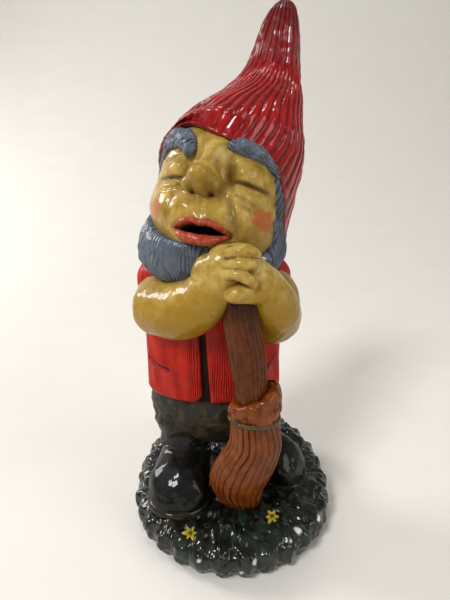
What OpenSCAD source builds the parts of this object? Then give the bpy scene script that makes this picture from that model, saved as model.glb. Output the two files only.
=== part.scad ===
// Garden gnome leaning on a broom: a painted, cast figure on a round grass mound.
// Millimetres, +Z up, the figure faces -Y, origin at the middle of the mound's underside.
// Every sculpted form is its own solid, cut back by the form that it is seated on.

/* [Mound] */
// Width of the grass mound
mound_w = 126; // [116:1:136]
// Depth of the grass mound, front to back
mound_d = 137; // [130:1:150]
// Height of the mound's wall
wall_h = 16; // [14:1:18]
// Number of grass tufts round the edge
tufts = 30; // [24:1:36]

/* [Body] */
// Sideways offset of the body from the middle of the mound
body_x = -12; // [-14:1:-10]
// Height of the waistcoat's hem
hem_z = 85; // [83:1:87]
// Width of the waistcoat at the hem
hem_w = 82; // [80:1:86]
// Width of the waistcoat at the shoulders
shoulder_w = 89; // [86:1:92]
// Depth of the waistcoat at the chest
chest_d = 62; // [60:1:64]
// Thickness of the waistcoat
cloth_t = 4; // [3:0.5:5]

/* [Head] */
// Width of the head
head_w = 69; // [66:1:72]
// Backward tilt of the head in degrees
head_tilt = 18; // [15:1:21]
// Turn of the head towards the figure's right in degrees
head_turn = 12; // [9:1:15]
// Lean of the head towards the figure's left in degrees
head_lean = 7; // [4:1:10]

/* [Hat] */
// Height of the hat's tip above the floor
tip_z = 300; // [296:1:306]
// Number of knitted ribs round the hat
ribs = 48; // [40:2:56]
// Height of a rib
rib_h = 0.9; // [0.4:0.1:1.2]

/* [Broom] */
// Thickness of the broom's handle
handle_d = 18; // [17:1:19]
// Width of the brush at its widest
brush_w = 35; // [32:1:38]
// Number of twig bundles round the brush
twigs = 12; // [8:1:16]

/* [Hidden] */

head_at = [body_x + 7, -3, 206];
ground_z = wall_h + 4;       // the grass where the boots stand
broom_at = [11, -43];        // where the broom is bound

// Stations are rows of numbers. A smooth curve passes through them all.
function row(list, i) = list[max(0, min(len(list) - 1, i))];
function between(a, b, c, d, t) =
    0.5 * (2 * b + (c - a) * t + (2 * a - 5 * b + 4 * c - d) * t * t + (3 * b - a - 3 * c + d) * t * t * t);
function along(list, s) = let (i = min(floor(s), len(list) - 2), t = s - i)
    between(row(list, i - 1), row(list, i), row(list, i + 1), row(list, i + 2), t);
function smooth(list, steps) = [for (i = [0 : (len(list) - 1) * steps]) along(list, i / steps)];
function unit(v) = v / norm(v);
function ease(t) = let (c = max(0, min(1, t))) c * c * (3 - 2 * c);
function mean(points) = [for (p = points) 1] * points / len(points);

// A closed skin over rings of points, which run anticlockwise seen from the last ring.
module skin(rings) {
    n = len(rings);
    m = len(rings[0]);
    middle = [mean(rings[0]), mean(rings[n - 1])];
    sides = [for (i = [0 : n - 2], j = [0 : m - 1]) let (a = i * m + j, b = i * m + (j + 1) % m)
        each [[a, a + m, b + m], [a, b + m, b]]];
    first = [for (j = [0 : m - 1]) [n * m, j, (j + 1) % m]];
    last = [for (j = [0 : m - 1]) let (base = (n - 1) * m) [n * m + 1, base + (j + 1) % m, base + j]];
    polyhedron([each [for (r = rings) each r], each middle], concat(sides, first, last), convexity = 8);
}

// A closed skin over rings that run round a loop, without ends.
module loop_skin(rings) {
    n = len(rings);
    m = len(rings[0]);
    polyhedron([for (r = rings) each r], [for (i = [0 : n - 1], j = [0 : m - 1]) let (
        a = i * m + j, b = i * m + (j + 1) % m, c = (i + 1) % n * m + j, d = (i + 1) % n * m + (j + 1) % m)
        each [[a, c, b], [b, c, d]]], convexity = 8);
}

// An upright form: stations are [z, x, y, half width, half depth].
module upright(stations, sides = 32, steps = 1) {
    skin([for (s = smooth(stations, steps)) [for (j = [0 : sides - 1]) let (a = 360 * j / sides)
        [s[1] + s[3] * cos(a), s[2] + s[4] * sin(a), s[0]]]]);
}

// A limb along a curve: stations are [x, y, z, radius across, radius in the plane of the bend].
function limb_rings(stations, sides, steps, ref) = let (path = smooth(stations, steps), n = len(path))
    [for (i = [0 : n - 1]) let (
        here = path[i],
        ahead = path[min(i + 1, n - 1)] - path[max(i - 1, 0)],
        t = unit([ahead[0], ahead[1], ahead[2]]),
        side = unit(cross(ref, t)),
        up = cross(t, side))
        [for (j = [0 : sides - 1]) let (a = 360 * j / sides)
            [here[0], here[1], here[2]] + here[3] * cos(a) * side + here[4] * sin(a) * up]];

module limb(stations, sides = 14, steps = 2, ref = [0, 0, 1]) skin(limb_rings(stations, sides, steps, ref));

// An egg-shaped lump of clay.
module lump(at, size, turn = [0, 0, 0], sides = 16) {
    translate(at) rotate(turn) scale(size) sphere(r = 1, $fn = sides);
}

// Everything below a height, to cut a form off flat.
reach = 150;
module below(z) translate([-reach, -reach, z - reach]) cube([2 * reach, 2 * reach, reach]);

// A sculpted form is one faceted skin, whatever it was built up from.
module sculpted() resize([0, 0, 0]) children();

// The head's own frame: the face looks along -Y, with the crown along +Z.
module on_head() translate(head_at) rotate([-head_tilt, head_lean, -head_turn]) children();
function about_x(p, a) = [p[0], p[1] * cos(a) - p[2] * sin(a), p[1] * sin(a) + p[2] * cos(a)];
function about_y(p, a) = [p[0] * cos(a) + p[2] * sin(a), p[1], p[2] * cos(a) - p[0] * sin(a)];
function about_z(p, a) = [p[0] * cos(a) - p[1] * sin(a), p[0] * sin(a) + p[1] * cos(a), p[2]];
function head_point(p) = head_at + about_z(about_y(about_x(p, -head_tilt), head_lean), -head_turn);

// Grass mound: a low cake with a tufted wall, rising a little behind the figure.
// The profile's points are shares of the mound's radius and of its wall's height.
// On top the tufts are twice as wide, and lie staggered from ring to ring.
mound_profile = [[0.93, 0], [0.985, 0.5], [0.965, 0.95], [0.84, 1.2], [0.68, 1.27], [0.52, 1.3], [0.36, 1.3]];
wall_rings = 3;
tuft_depth = 0.018;
tuft_h = 1.2;
mound_rise = 15;
module raw_mound() {
    columns = tufts * 3;
    skin([for (i = [0 : len(mound_profile) - 1]) [for (j = [0 : columns - 1]) let (
        p = mound_profile[i],
        a = 360 * j / columns,
        on_top = i >= wall_rings,
        reach = p[0] + (on_top ? 0 : tuft_depth * cos(120 * j)),
        tuft = on_top ? -tuft_h * cos(60 * j) * cos(180 * (i - wall_rings)) : 0,
        rise = mound_rise * ease((sin(a) * p[0] + 0.1) / 1.1) * ease(p[1] / 1.2))
        [mound_w / 2 * reach * cos(a), mound_d / 2 * reach * sin(a), wall_h * p[1] + rise + tuft]]]);
}
module grass_mound() color("#161a12") sculpted() raw_mound();

// Two small flowers lie on the grass in front, each with a ring of petals: [x, y, z, slope of the grass].
flower_r = 4.5;
flower_t = 1.6;
petals = 6;
flower_spots = [[-24, -53.5, 19, 24], [22.5, -43, 20.6, 16]];
module raw_flowers() {
    for (spot = flower_spots) translate([spot[0], spot[1], spot[2]]) rotate([spot[3], 0, 0])
        linear_extrude(flower_t * 2, center = true) polygon([for (a = [0 : 120 / petals : 359])
            flower_r * (0.7 + 0.3 * cos(petals * a)) * [cos(a), sin(a)]]);
}

module flowers() color("#b29a18") sculpted() difference() {
    raw_flowers();
    raw_mound();
}

// Boots: a rounded foot and a short shaft on a thick welted sole.
// The right foot points forward, and the left foot points out to the side behind the broom.
module foot(toe, heel, half_w, top_z) {
    mid = (toe + heel) / 2;
    limb([
        [heel[0], heel[1], ground_z + 9, half_w * 0.45, 5],
        [heel[0] * 0.85 + toe[0] * 0.15, heel[1] * 0.85 + toe[1] * 0.15, ground_z + 13, half_w * 0.82, 15],
        [mid[0], mid[1], ground_z + 13, half_w * 0.92, 15],
        [toe[0] * 0.78 + heel[0] * 0.22, toe[1] * 0.78 + heel[1] * 0.22, ground_z + 10, half_w, 14],
        [toe[0] * 0.95 + heel[0] * 0.05, toe[1] * 0.95 + heel[1] * 0.05, ground_z + 6, half_w * 0.66, 9],
        [toe[0], toe[1], ground_z + 4, half_w * 0.3, 4]
    ], sides = 12);
    shaft = heel * 0.62 + toe * 0.38;
    upright([
        [ground_z + 6, shaft[0], shaft[1], half_w * 0.8, half_w * 0.85],
        [(ground_z + top_z) / 2, shaft[0], shaft[1], half_w * 0.86, half_w * 0.9],
        [top_z, shaft[0], shaft[1], half_w * 0.88, half_w * 0.9]
    ], sides = 12);
}

// A welted sole stands out past the foot, and is sunk into the grass.
welt = 1.5;
sole_h = 7;
sole_top_z = ground_z + 3;
module sole(toe, heel, half_w) {
    round_r = half_w + welt;
    translate([0, 0, sole_top_z - sole_h]) linear_extrude(sole_h) hull() {
        translate(toe * 0.72 + heel * 0.28) circle(r = round_r, $fn = 16);
        translate(heel * 0.78 + toe * 0.22) circle(r = round_r * 0.86, $fn = 16);
    }
}

right_toe = [-34.4, -42];
right_heel = [-27, 20];
right_foot_w = 17.8;
left_toe = [44, -13];
left_heel = [3, 15];
left_foot_w = 14;
boot_top_z = 56;

module raw_right_sole() sole(right_toe, right_heel, right_foot_w);
module raw_left_sole() sole(left_toe, left_heel, left_foot_w);
module raw_right_boot() foot(right_toe, right_heel, right_foot_w, boot_top_z);
module raw_left_boot() foot(left_toe, left_heel, left_foot_w, boot_top_z);
module upper_cut() difference() {
    children();
    below(sole_top_z);
    raw_mound();
}

module right_sole() color("#241e12") sculpted() difference() {
    raw_right_sole();
    raw_mound();
}
module left_sole() color("#241e12") sculpted() difference() {
    raw_left_sole();
    raw_mound();
    raw_right_sole();
}
module right_boot() color("#111110") sculpted() upper_cut() raw_right_boot();
module left_boot() color("#111110") sculpted() difference() {
    upper_cut() raw_left_boot();
    raw_right_boot();
    raw_right_sole();
}

// Trousers: two short full legs under one hip, which the shirt is tucked into.
hip_z = hem_z + 8;
module raw_trousers() difference() {
    union() {
        upright([
            [boot_top_z - 4, body_x + 1, 4, 33, 20],
            [boot_top_z + 7, body_x, 4, 38, 25],
            [hem_z - 9, body_x, 4, hem_w / 2 - 1.5, 27.5],
            [hem_z, body_x, 2, hem_w / 2 - cloth_t - 0.8, chest_d / 2 - cloth_t - 2.3],
            [hip_z, body_x, 2, hem_w / 2 - cloth_t - 1, chest_d / 2 - cloth_t - 2.5]
        ], sides = 20);
        for (leg = [[-31, -2, 18], [6, 7, 16]]) upright([
            [boot_top_z - 8, leg[0], leg[1] + 2, leg[2] * 0.98, leg[2] * 1.02],
            [boot_top_z + 2, leg[0], leg[1] + 2, leg[2], leg[2] * 1.1],
            [boot_top_z + 18, leg[0], leg[1] + 3, leg[2], leg[2] * 1.2]
        ], sides = 14);
    }
    below(boot_top_z);
}
module trousers() color("#292419") sculpted() raw_trousers();

// Shirt: the torso inside the waistcoat, seen only in the gap between its fronts.
function torso(shrink) = [
    [hem_z, body_x, 2, hem_w / 2 - shrink, chest_d / 2 - 1.5 - shrink],
    [hem_z + 20, body_x, 1, hem_w / 2 - 0.5 - shrink, chest_d / 2 - shrink],
    [hem_z + 48, body_x + 0.5, 1, hem_w / 2 + 0.5 - shrink, chest_d / 2 - shrink],
    [hem_z + 70, body_x + 1, 2, shoulder_w / 2 - shrink, chest_d / 2 - 2 - shrink],
    [hem_z + 82, body_x + 1, 3, shoulder_w / 2 - 9 - shrink, chest_d / 2 - 6 - shrink],
    [hem_z + 91, body_x + 1, 4, shoulder_w / 2 - 22 - shrink, chest_d / 2 - 11 - shrink]
];
module raw_torso() upright(torso(0), sides = 30);
module inner_torso() upright(torso(cloth_t), sides = 16);
module raw_shirt() difference() {
    inner_torso();
    below(hip_z);
}
module shirt() color("#1e1b0f") sculpted() raw_shirt();

// Waistcoat: a thick sleeveless shell, open down the front, with a slit pocket in each front.
// The two fronts meet the back along the side seams, and a round neck is left open at the top.
// The gap slants: its middle stands nearer the broom at the hem than at the chest.
gap_top_w = 3;
gap_hem_w = 4.8;
gap_x = body_x - 5.3;
gap_slant = 2.2;
pocket_l = 14;
pocket_h = 1.6;
pocket_depth = 2 * cloth_t;
// Each pocket is [x, y, z, turn round the body, slope].
pocket_spots = [[-42, -21, 106, -34, 14], [22.5, -16.5, 107.5, 48, -22]];
neck_r = 22;
neck_z = hem_z + 84;
module raw_waistcoat() difference() {
    raw_torso();
    inner_torso();
    translate([body_x, 4, neck_z]) cylinder(r = neck_r, h = 20, $fn = 24);
    rotate([90, 0, 0]) linear_extrude(100) polygon([
        [gap_x + gap_slant - gap_hem_w / 2, hem_z - 1], [gap_x + gap_slant + gap_hem_w / 2, hem_z - 1],
        [gap_x + gap_top_w / 2, hem_z + 45], [gap_x + gap_top_w / 2, hem_z + 70], [gap_x + 8, hem_z + 95],
        [gap_x - 8, hem_z + 95], [gap_x - gap_top_w / 2, hem_z + 70], [gap_x - gap_top_w / 2, hem_z + 45]
    ]);
    for (p = pocket_spots) translate([p[0], p[1], p[2]]) rotate([0, p[4], p[3]])
        cube([pocket_l, pocket_depth, pocket_h], center = true);
}
module waistcoat_cut() sculpted() intersection() {
    raw_waistcoat();
    children();
}
seam_y = 3;
module waistcoat_back() color("#ae230f") waistcoat_cut()
    translate([-reach, seam_y, 0]) cube(2 * reach);
module waistcoat_right_front() color("#ae230f") waistcoat_cut()
    translate([gap_x - reach, seam_y - reach, 0]) cube([reach, reach, 2 * reach]);
module waistcoat_left_front() color("#ae230f") waistcoat_cut()
    translate([gap_x, seam_y - reach, 0]) cube([reach, reach, 2 * reach]);

// Arms: bare, thick and bent, coming out of the waistcoat to the clasped hands.
// Each arm ends in a wrist, a flat cut where the hand starts, square to the forearm's lean.
right_wrist = [-8, -46, 162];
right_lean = 38;
left_wrist = [16, -44, 155];
left_lean = -32;
// The upper arm and the forearm meet in a round elbow, which is the forearm's first station.
module arm(upper, fore, ref) {
    elbow = fore[0];
    limb([each upper, elbow], sides = 12, ref = ref);
    limb(fore, sides = 12, ref = ref);
    lump([elbow[0], elbow[1], elbow[2]], elbow[3] * [1, 1, 1], sides = 12);
}
module raw_right_arm() arm(
    [[-33, 0, 155, 12, 13], [-40, -10, 149, 15, 15.5]],
    [[-39.5, -23, 141.5, 15.5, 15.5], [-27, -35, 145, 15.5, 15.5],
        [-14, -43, 155, 13.5, 13], [-6, -47, 165, 11, 10.5], [-2, -49, 170, 9, 9]],
    ref = [0.3, 1, 0.2]);
module raw_left_arm() arm(
    [[17, 0, 154, 11, 12], [22.5, -9, 146, 13.5, 14.5]],
    [[22, -21, 136, 15, 15], [20.5, -34, 145, 13.5, 13.5],
        [15.5, -43, 156, 11.5, 11], [9.5, -48, 165, 9.5, 9], [6, -49.5, 171, 7.5, 7.5]],
    ref = [-0.3, 1, 0.2]);
module beyond(wrist, lean) translate(wrist) rotate([0, lean, 0]) translate([-40, -30, 0]) cube([80, 50, 80]);
module beyond_right() beyond(right_wrist, right_lean);
module beyond_left() beyond(left_wrist, left_lean);

// Hands: the right hand lies over the left one, with its four fingers bent round it, on top of the handle.
// A finger thins a little towards its tip.
finger_r = 2.7;
right_fingers = [
    [[-5, -48, 177.5], [1, -51.5, 179.2], [6, -51.5, 178.8], [9, -48, 177]],
    [[-5, -53, 177], [1, -56.6, 178.8], [5, -57, 178.8], [8, -55.2, 177.8], [9.6, -52, 176.4]],
    [[-5, -54, 172], [1, -58, 173.6], [5, -58.5, 173.6], [8, -57, 173], [9.8, -53.5, 172]],
    [[-6, -54.5, 168.8], [0, -58.5, 168.8], [4, -60, 167.6], [7, -59.4, 165.8], [8.6, -57, 163.8]]
];
left_fingers = [
    [[10, -50, 162], [5, -54.5, 159.5], [0.5, -56.5, 158.2], [-2.5, -55, 157.6]],
    [[12, -48, 157], [6, -52, 154.6], [1, -53.5, 153.8]]
];
module finger(path, r) {
    last = len(path) - 1;
    limb([for (i = [0 : last]) let (thin = r * (1.12 - 0.2 * i / last)) [each path[i], thin, thin]],
        sides = 6, steps = 1, ref = [0, 0, 1]);
}
module right_palm() {
    lump([-11.5, -46, 165.5], [11, 9, 11], [0, 0, 0], 12);
    lump([-5, -49, 170.5], [10, 8.5, 11], [0, 30, 0], 12);
    for (path = right_fingers) finger(path, finger_r);
}
module left_palm() {
    for (path = left_fingers) finger(path, finger_r * 1.6);
}

module right_hand() color("#af8e3a") sculpted() difference() {
    union() {
        intersection() {
            raw_right_arm();
            beyond_right();
        }
        right_palm();
    }
    raw_handle();
}
module left_hand() color("#af8e3a") sculpted() difference() {
    union() {
        intersection() {
            raw_left_arm();
            beyond_left();
        }
        left_palm();
    }
    right_palm();
    raw_right_arm();
    raw_handle();
}
module right_arm() color("#af8e3a") sculpted() difference() {
    raw_right_arm();
    beyond_right();
    right_palm();
    raw_handle();
    raw_torso();
}
module left_arm() color("#af8e3a") sculpted() difference() {
    raw_left_arm();
    beyond_left();
    left_palm();
    right_palm();
    raw_right_arm();
    raw_handle();
    raw_torso();
}

// Broom: a rough-hewn handle in a bound brush of twigs, which stands on the grass and sweeps to one side.
collar_z = 99;
binding_z = 87;
binding_h = 3.2;
binding_r = 13;
handle_foot_z = 81;
module raw_handle() limb([
    [2.5, -48, 157, handle_d * 0.4, handle_d * 0.4], [2.5, -48, 153, handle_d * 0.49, handle_d * 0.49],
    [6, -46.5, 128, handle_d * 0.49, handle_d * 0.5], [9.3, -44.5, 104, handle_d * 0.45, handle_d * 0.48],
    [broom_at[0], broom_at[1], handle_foot_z, handle_d * 0.45, handle_d * 0.45]
], sides = 14, steps = 1, ref = [0, 1, 0]);

// The collar of cut twig ends stands higher on the figure's left.
// Its rings are [z, half width, half depth, share of the tilt].
collar_tilt = 5.5;
collar_rings = [
    [binding_z + binding_h / 2, 13, 11.5, 0], [binding_z + 5, 13.8, 12.8, 0.3],
    [collar_z - 4, 13.8, 13.2, 0.75], [collar_z, 13.2, 12.8, 1], [collar_z + 2, 11.4, 10.8, 1]
];
module raw_collar() {
    columns = 20;
    skin([for (s = collar_rings) [for (j = [0 : columns - 1]) let (a = 360 * j / columns)
        [broom_at[0] + s[1] * cos(a), broom_at[1] + s[2] * sin(a), s[0] + s[3] * collar_tilt * cos(a)]]]);
}
// The brush bellies out below the binding. Its twig bundles stand out, and fade into the binding.
brush_rings = [
    [20, 5, -35, 5, 5], [28, 3, -36, 11, 9.5], [37, 2.7, -36.5, brush_w * 0.42, 12],
    [48, 4.8, -38, brush_w / 2, 13], [60, 8.5, -40, brush_w * 0.48, 13],
    [71, 12, -42, brush_w * 0.41, 12.2], [binding_z - binding_h / 2, 11, -43, 12.8, 11.3]
];
twig_depth = 0.05;
module raw_brush() {
    columns = twigs * 3;
    last = len(brush_rings) - 1;
    skin([for (i = [0 : last]) let (s = brush_rings[i], depth = twig_depth * ease((last - i) / 2))
        [for (j = [0 : columns - 1]) let (a = 360 * j / columns, r = 1 + depth * cos(120 * j))
            [s[1] + s[3] * r * cos(a), s[2] + s[4] * r * sin(a), s[0]]]]);
}

module behind_broom() {
    raw_torso();
    raw_trousers();
    raw_right_boot();
    raw_left_boot();
    raw_right_sole();
    raw_left_sole();
    raw_mound();
}
module broom_handle() color("#5a2d0b") sculpted() difference() {
    raw_handle();
    raw_torso();
}
module broom_collar() color("#7c3e0e") sculpted() difference() {
    raw_collar();
    raw_handle();
    raw_torso();
    raw_trousers();
}
module broom_brush() color("#7c3e0e") sculpted() difference() {
    raw_brush();
    behind_broom();
    raw_handle();
}
module broom_binding() color("#42300f") sculpted() difference() {
    translate([broom_at[0], broom_at[1], binding_z]) scale([1, 0.89, 1]) rotate_extrude($fn = 16) {
        translate([0, -binding_h / 2]) square([binding_r, binding_h]);
        translate([binding_r, 0]) circle(d = binding_h, $fn = 6);
    }
    raw_handle();
    raw_trousers();
}

// Head: an egg with full cheeks, heavy closed eyelids and an open mouth.
// The egg is round from above. Soft bumps, [x, z, width, height, rise], lift its front.
egg_top = 40;
egg_bottom = -51;
egg_d = 68;
function egg(z) = pow(max(0, 1 - pow(abs(z / (z > 0 ? egg_top : egg_bottom)), 2.5)), 0.45);
function egg_y(z) = z > 0 ? 6 * pow(z / egg_top, 2) : -10 * pow(z / egg_bottom, 2);
eye_x = 18.5;
eye_z = -8;
mouth_z = -32.4;
side_bumps = [
    [17, -24, 11, 10, 4.5], [eye_x, eye_z + 5, 9, 6.5, 3.5], [eye_x, eye_z - 5, 8, 4, 2], [17, 10, 11, 5, 2]
];
mid_bumps = [[0, -29, 13, 10, 6], [0, 6, 7, 12, 3]];
face_bumps = [each mid_bumps, for (b = side_bumps, side = [-1, 1]) [side * b[0], b[1], b[2], b[3], b[4]]];
function bump(b, x, z) = b[4] * exp(-pow((x - b[0]) / b[2], 2) - pow((z - b[1]) / b[3], 2));
function rise_at(x, z) = [for (b = face_bumps) bump(b, x, z)] * [for (b = face_bumps) 1];
// Angles run from the nape round, and crowd together on the face.
face_crowding = 34;
function head_ring(z, grow, columns) = [for (j = [0 : columns - 1]) let (
    t = 360 * j / columns - 180,
    a = t - face_crowding * sin(t),
    half_w = head_w / 2 * egg(z) + grow,
    half_d = egg_d / 2 * egg(z) + grow,
    out = [half_w * sin(a), -half_d * cos(a)],
    lift = 1 + (abs(a) < 90 && grow == 0 ? rise_at(out[0], z) : 0) / norm(out))
    [out[0] * lift, out[1] * lift + egg_y(z), z]];
module face_egg(grow = 0, columns = 22, rows = 8) skin([for (i = [0 : rows]) let (
    c = 0.985 * cos(180 * i / rows))
    head_ring(c > 0 ? egg_bottom * c : -egg_top * c, grow, columns)]);
module raw_head() on_head() difference() {
    face_egg(0, 28, 14);
    lump([0, -34, mouth_z], [11.5, 9, 3.2], sides = 12);
    for (side = [-1, 1]) lump([side * eye_x, -33, eye_z], [12, 7, 1.3], [0, side * 6, side * 28], 8);
}
module raw_nose() on_head() limb([
    [-2, -31, 10, 4, 5], [-2.7, -36, 3.5, 4.6, 5], [-3.9, -41, -3, 6.6, 6.6], [-4.9, -43, -7.5, 8.2, 7.5],
    [-4.9, -40.5, -12.5, 6.2, 4.5]
], sides = 10, ref = [0, 1, 0]);
module raw_upper_lip() on_head() limb([
    [-13.8, -32, mouth_z + 0.8, 0.9, 1.4], [-9, -36.6, mouth_z + 3, 1.5, 2.6],
    [-4, -39.2, mouth_z + 4.2, 1.7, 2.8], [0, -39.6, mouth_z + 3.7, 1.6, 2.8],
    [4, -39.2, mouth_z + 4.2, 1.7, 2.8], [9, -36.6, mouth_z + 3, 1.5, 2.6],
    [13.8, -32, mouth_z + 0.8, 0.9, 1.4]
], sides = 6, steps = 1, ref = [0, 1, 0]);
module raw_lower_lip() on_head() limb([
    [-13.4, -32, mouth_z - 0.6, 0.9, 1.4], [-8, -36.2, mouth_z - 3.4, 2.2, 2.8],
    [0, -38.2, mouth_z - 4.6, 2.7, 3.2], [8, -36.2, mouth_z - 3.4, 2.2, 2.8],
    [13.4, -32, mouth_z - 0.6, 0.9, 1.4]
], sides = 6, ref = [0, 1, 0]);
module raw_right_eyebrow() on_head() limb([
    [-30, -17.5, 5, 1.6, 2], [-26.5, -22.5, 11, 3.2, 3.4], [-20, -29, 13, 3.8, 4], [-14.5, -33, 9.5, 3.6, 3.8],
    [-11.5, -34.8, 3.5, 2, 2.4]
], sides = 8, ref = [0, 1, 0]);
module raw_left_eyebrow() on_head() limb([
    [5.5, -34.8, 9.5, 2.4, 2.8], [11.5, -33.4, 9.8, 3.6, 3.8], [18, -30.4, 9.4, 3.8, 3.8],
    [24, -26.2, 7.4, 3.2, 3.2], [29.5, -20.5, 2.5, 1.6, 2]
], sides = 8, ref = [0, 1, 0]);

// The face is a plug in the rounded opening that the hair and the beard leave free. The hat sits on its top.
// On the figure's left the jowl stays bare down to the hands.
// Above its widest place it is an ellipse, and below it has fuller corners.
opening_x = -0.8;
opening_z = -18;
opening_w = head_w - 1;
opening_top = 41.7;
opening_bottom = 20.5;
opening_back = -2.2;
jowl_at = [18.5, -30];
jowl_r = 13.5;
function corner(v) = sign(v) * pow(abs(v), 0.8);
module face_opening() on_head() translate([0, opening_back, 0]) rotate([90, 0, 0]) linear_extrude(80) {
    translate([opening_x, opening_z]) polygon([for (a = [6 : 12 : 354]) a < 180
        ? [opening_w / 2 * cos(a), opening_top * sin(a)]
        : [opening_w / 2 * corner(cos(a)), opening_bottom * corner(sin(a))]]);
    translate(jowl_at) circle(r = jowl_r, $fn = 24);
}
module head() color("#af8e3a") sculpted() difference() {
    intersection() {
        raw_head();
        face_opening();
    }
    hat_seat();
    raw_torso();
    right_palm();
    raw_right_arm();
}
module nose() color("#af8e3a") sculpted() difference() {
    raw_nose();
    raw_head();
    hat_seat();
}
module upper_lip() color("#a2422d") sculpted() difference() {
    raw_upper_lip();
    raw_head();
    raw_nose();
}
module lower_lip() color("#a2422d") sculpted() difference() {
    raw_lower_lip();
    raw_head();
    right_palm();
}
module right_eyebrow() color("#4f5560") sculpted() difference() {
    raw_right_eyebrow();
    raw_head();
    raw_nose();
    hat_seat();
}
module left_eyebrow() color("#4f5560") sculpted() difference() {
    raw_left_eyebrow();
    raw_head();
    raw_nose();
    hat_seat();
}

// Beard: a full mass of hair round the jaw, which hangs to the chest and comes up to the lower lip.
module raw_beard() upright([
    [156, body_x - 8, -24, 9, 9], [160, body_x - 5, -21, 24, 18], [168, body_x - 1.5, -17, 36.5, 27],
    [178, body_x + 1.5, -14, 39.5, 31], [188, body_x + 4, -11, 38, 29], [194, body_x + 5.5, -8, 33.5, 25]
], sides = 20);
module beard() color("#4f5560") sculpted() difference() {
    raw_beard();
    face_opening();
    raw_lower_lip();
    hat_seat();
    raw_torso();
    raw_right_arm();
    raw_left_arm();
    right_palm();
    left_palm();
}
// Hair: it frames the face and covers the nape under the hat.
hair_t = 2.4;
hair_front = -22;
module back_hair() color("#4f5560") sculpted() difference() {
    on_head() intersection() {
        face_egg(hair_t);
        translate([-reach / 2, hair_front, -reach / 2]) cube(reach);
    }
    face_opening();
    raw_right_eyebrow();
    raw_left_eyebrow();
    raw_beard();
    hat_seat();
    raw_torso();
}

// Hat: a knitted pointed cap pulled down to the nape, its tip drawn over to one side.
// Its edge runs round the head on a slant: these are its heights on the head every 30 degrees,
// from the figure's left round its back. Above it each ring is an ellipse,
// [x, y, z, half width, half depth, slant back, slant to the left].
brim_out = 3;
brim_heights = [-19, -21.5, -20, -16, -9.5, -0.9, 7.2, 15.5, 19.5, 13.8, 11.9, -0.2];
function brim_height(a) = let (n = len(brim_heights))
    along([for (k = [-1 : n + 2]) brim_heights[(k + n) % n]], a * n / 360 + 1);
hat_stations = [
    [-2.5, 4, 214.3, 40, 43.5, 34, 10], [0.7, 9, 225.3, 38.2, 40.8, 26, 6],
    [5.2, 12.5, 237.5, 32.7, 35, 17, 3], [17, 16.5, 256.5, 20, 21, 4, 0],
    [20.8, 17.5, 265, 15.5, 16, 1, 0], [25.8, 19.5, tip_z - 8, 8.3, 8.3, 0, 0],
    [26.8, 20, tip_z - 3, 5.2, 5.2, 0, 0], [27, 20, tip_z, 1.2, 1.2, 0, 0]
];
function brim_edge(columns, out) = [for (j = [0 : columns - 1]) let (
    a = 360 * j / columns,
    z = brim_height(a),
    x = (head_w / 2 * egg(z) + out) * cos(a),
    y = (egg_d / 2 * egg(z) + out) * sin(a))
    head_point([x, y, z])];
// Where the hat has grown narrow, every other rib has died out.
narrow = 18;
function hat_ring(s, columns) = [for (j = [0 : columns - 1]) let (
    a = 360 * j / columns,
    rib = cos(j * (s[3] > narrow ? 180 : 90)),
    r = 1 + rib * rib_h / 2 / max(s[3], rib_h * 6),
    x = s[3] * r * cos(a),
    y = s[4] * r * sin(a))
    [s[0] + x * cos(s[6]), s[1] + y * cos(s[5]), s[2] - y * sin(s[5]) - x * sin(s[6])]];
// Every side of the edge is halved, because a rib needs two columns.
function halved(ring) = [for (i = [0 : len(ring) - 1]) let (next = ring[(i + 1) % len(ring)])
    each [ring[i], (ring[i] + next) / 2]];
edge_ring = halved(brim_edge(ribs, brim_out));
hat_rings = [for (s = hat_stations) hat_ring(s, ribs * 2)];
module raw_hat() skin([edge_ring, each hat_rings]);
// The brim is a low band under the hat's edge, which lies flat against the hat's underside.
// It reaches inwards by a share of the way to the middle of the edge.
brim_h = 3;
brim_bulge = 0.7;
brim_in = 0.14;
foot_ring = [for (p = halved(brim_edge(ribs, brim_out + brim_bulge))) p - [0, 0, brim_h]];
inner_ring = [for (p = edge_ring) p + (mean(edge_ring) - p) * brim_in];
module raw_brim() loop_skin([for (j = [0 : ribs * 2 - 1]) [inner_ring[j], edge_ring[j], foot_ring[j]]]);
// What the face, brows, hair and beard are cut back by: the hat and its brim in one skin.
module hat_seat() skin([inner_ring, foot_ring, edge_ring, each hat_rings]);

module hat() color("#850c0e") sculpted() raw_hat();
module hat_brim() color("#850c0e") sculpted() raw_brim();

grass_mound();
right_sole();
right_boot();
left_sole();
left_boot();
trousers();
shirt();
waistcoat_back();
waistcoat_right_front();
waistcoat_left_front();
right_arm();
left_arm();
right_hand();
left_hand();
broom_handle();
broom_collar();
broom_binding();
broom_brush();
head();
nose();
upper_lip();
lower_lip();
right_eyebrow();
left_eyebrow();
beard();
back_hair();
hat();
hat_brim();
flowers();
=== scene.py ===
import math

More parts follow.
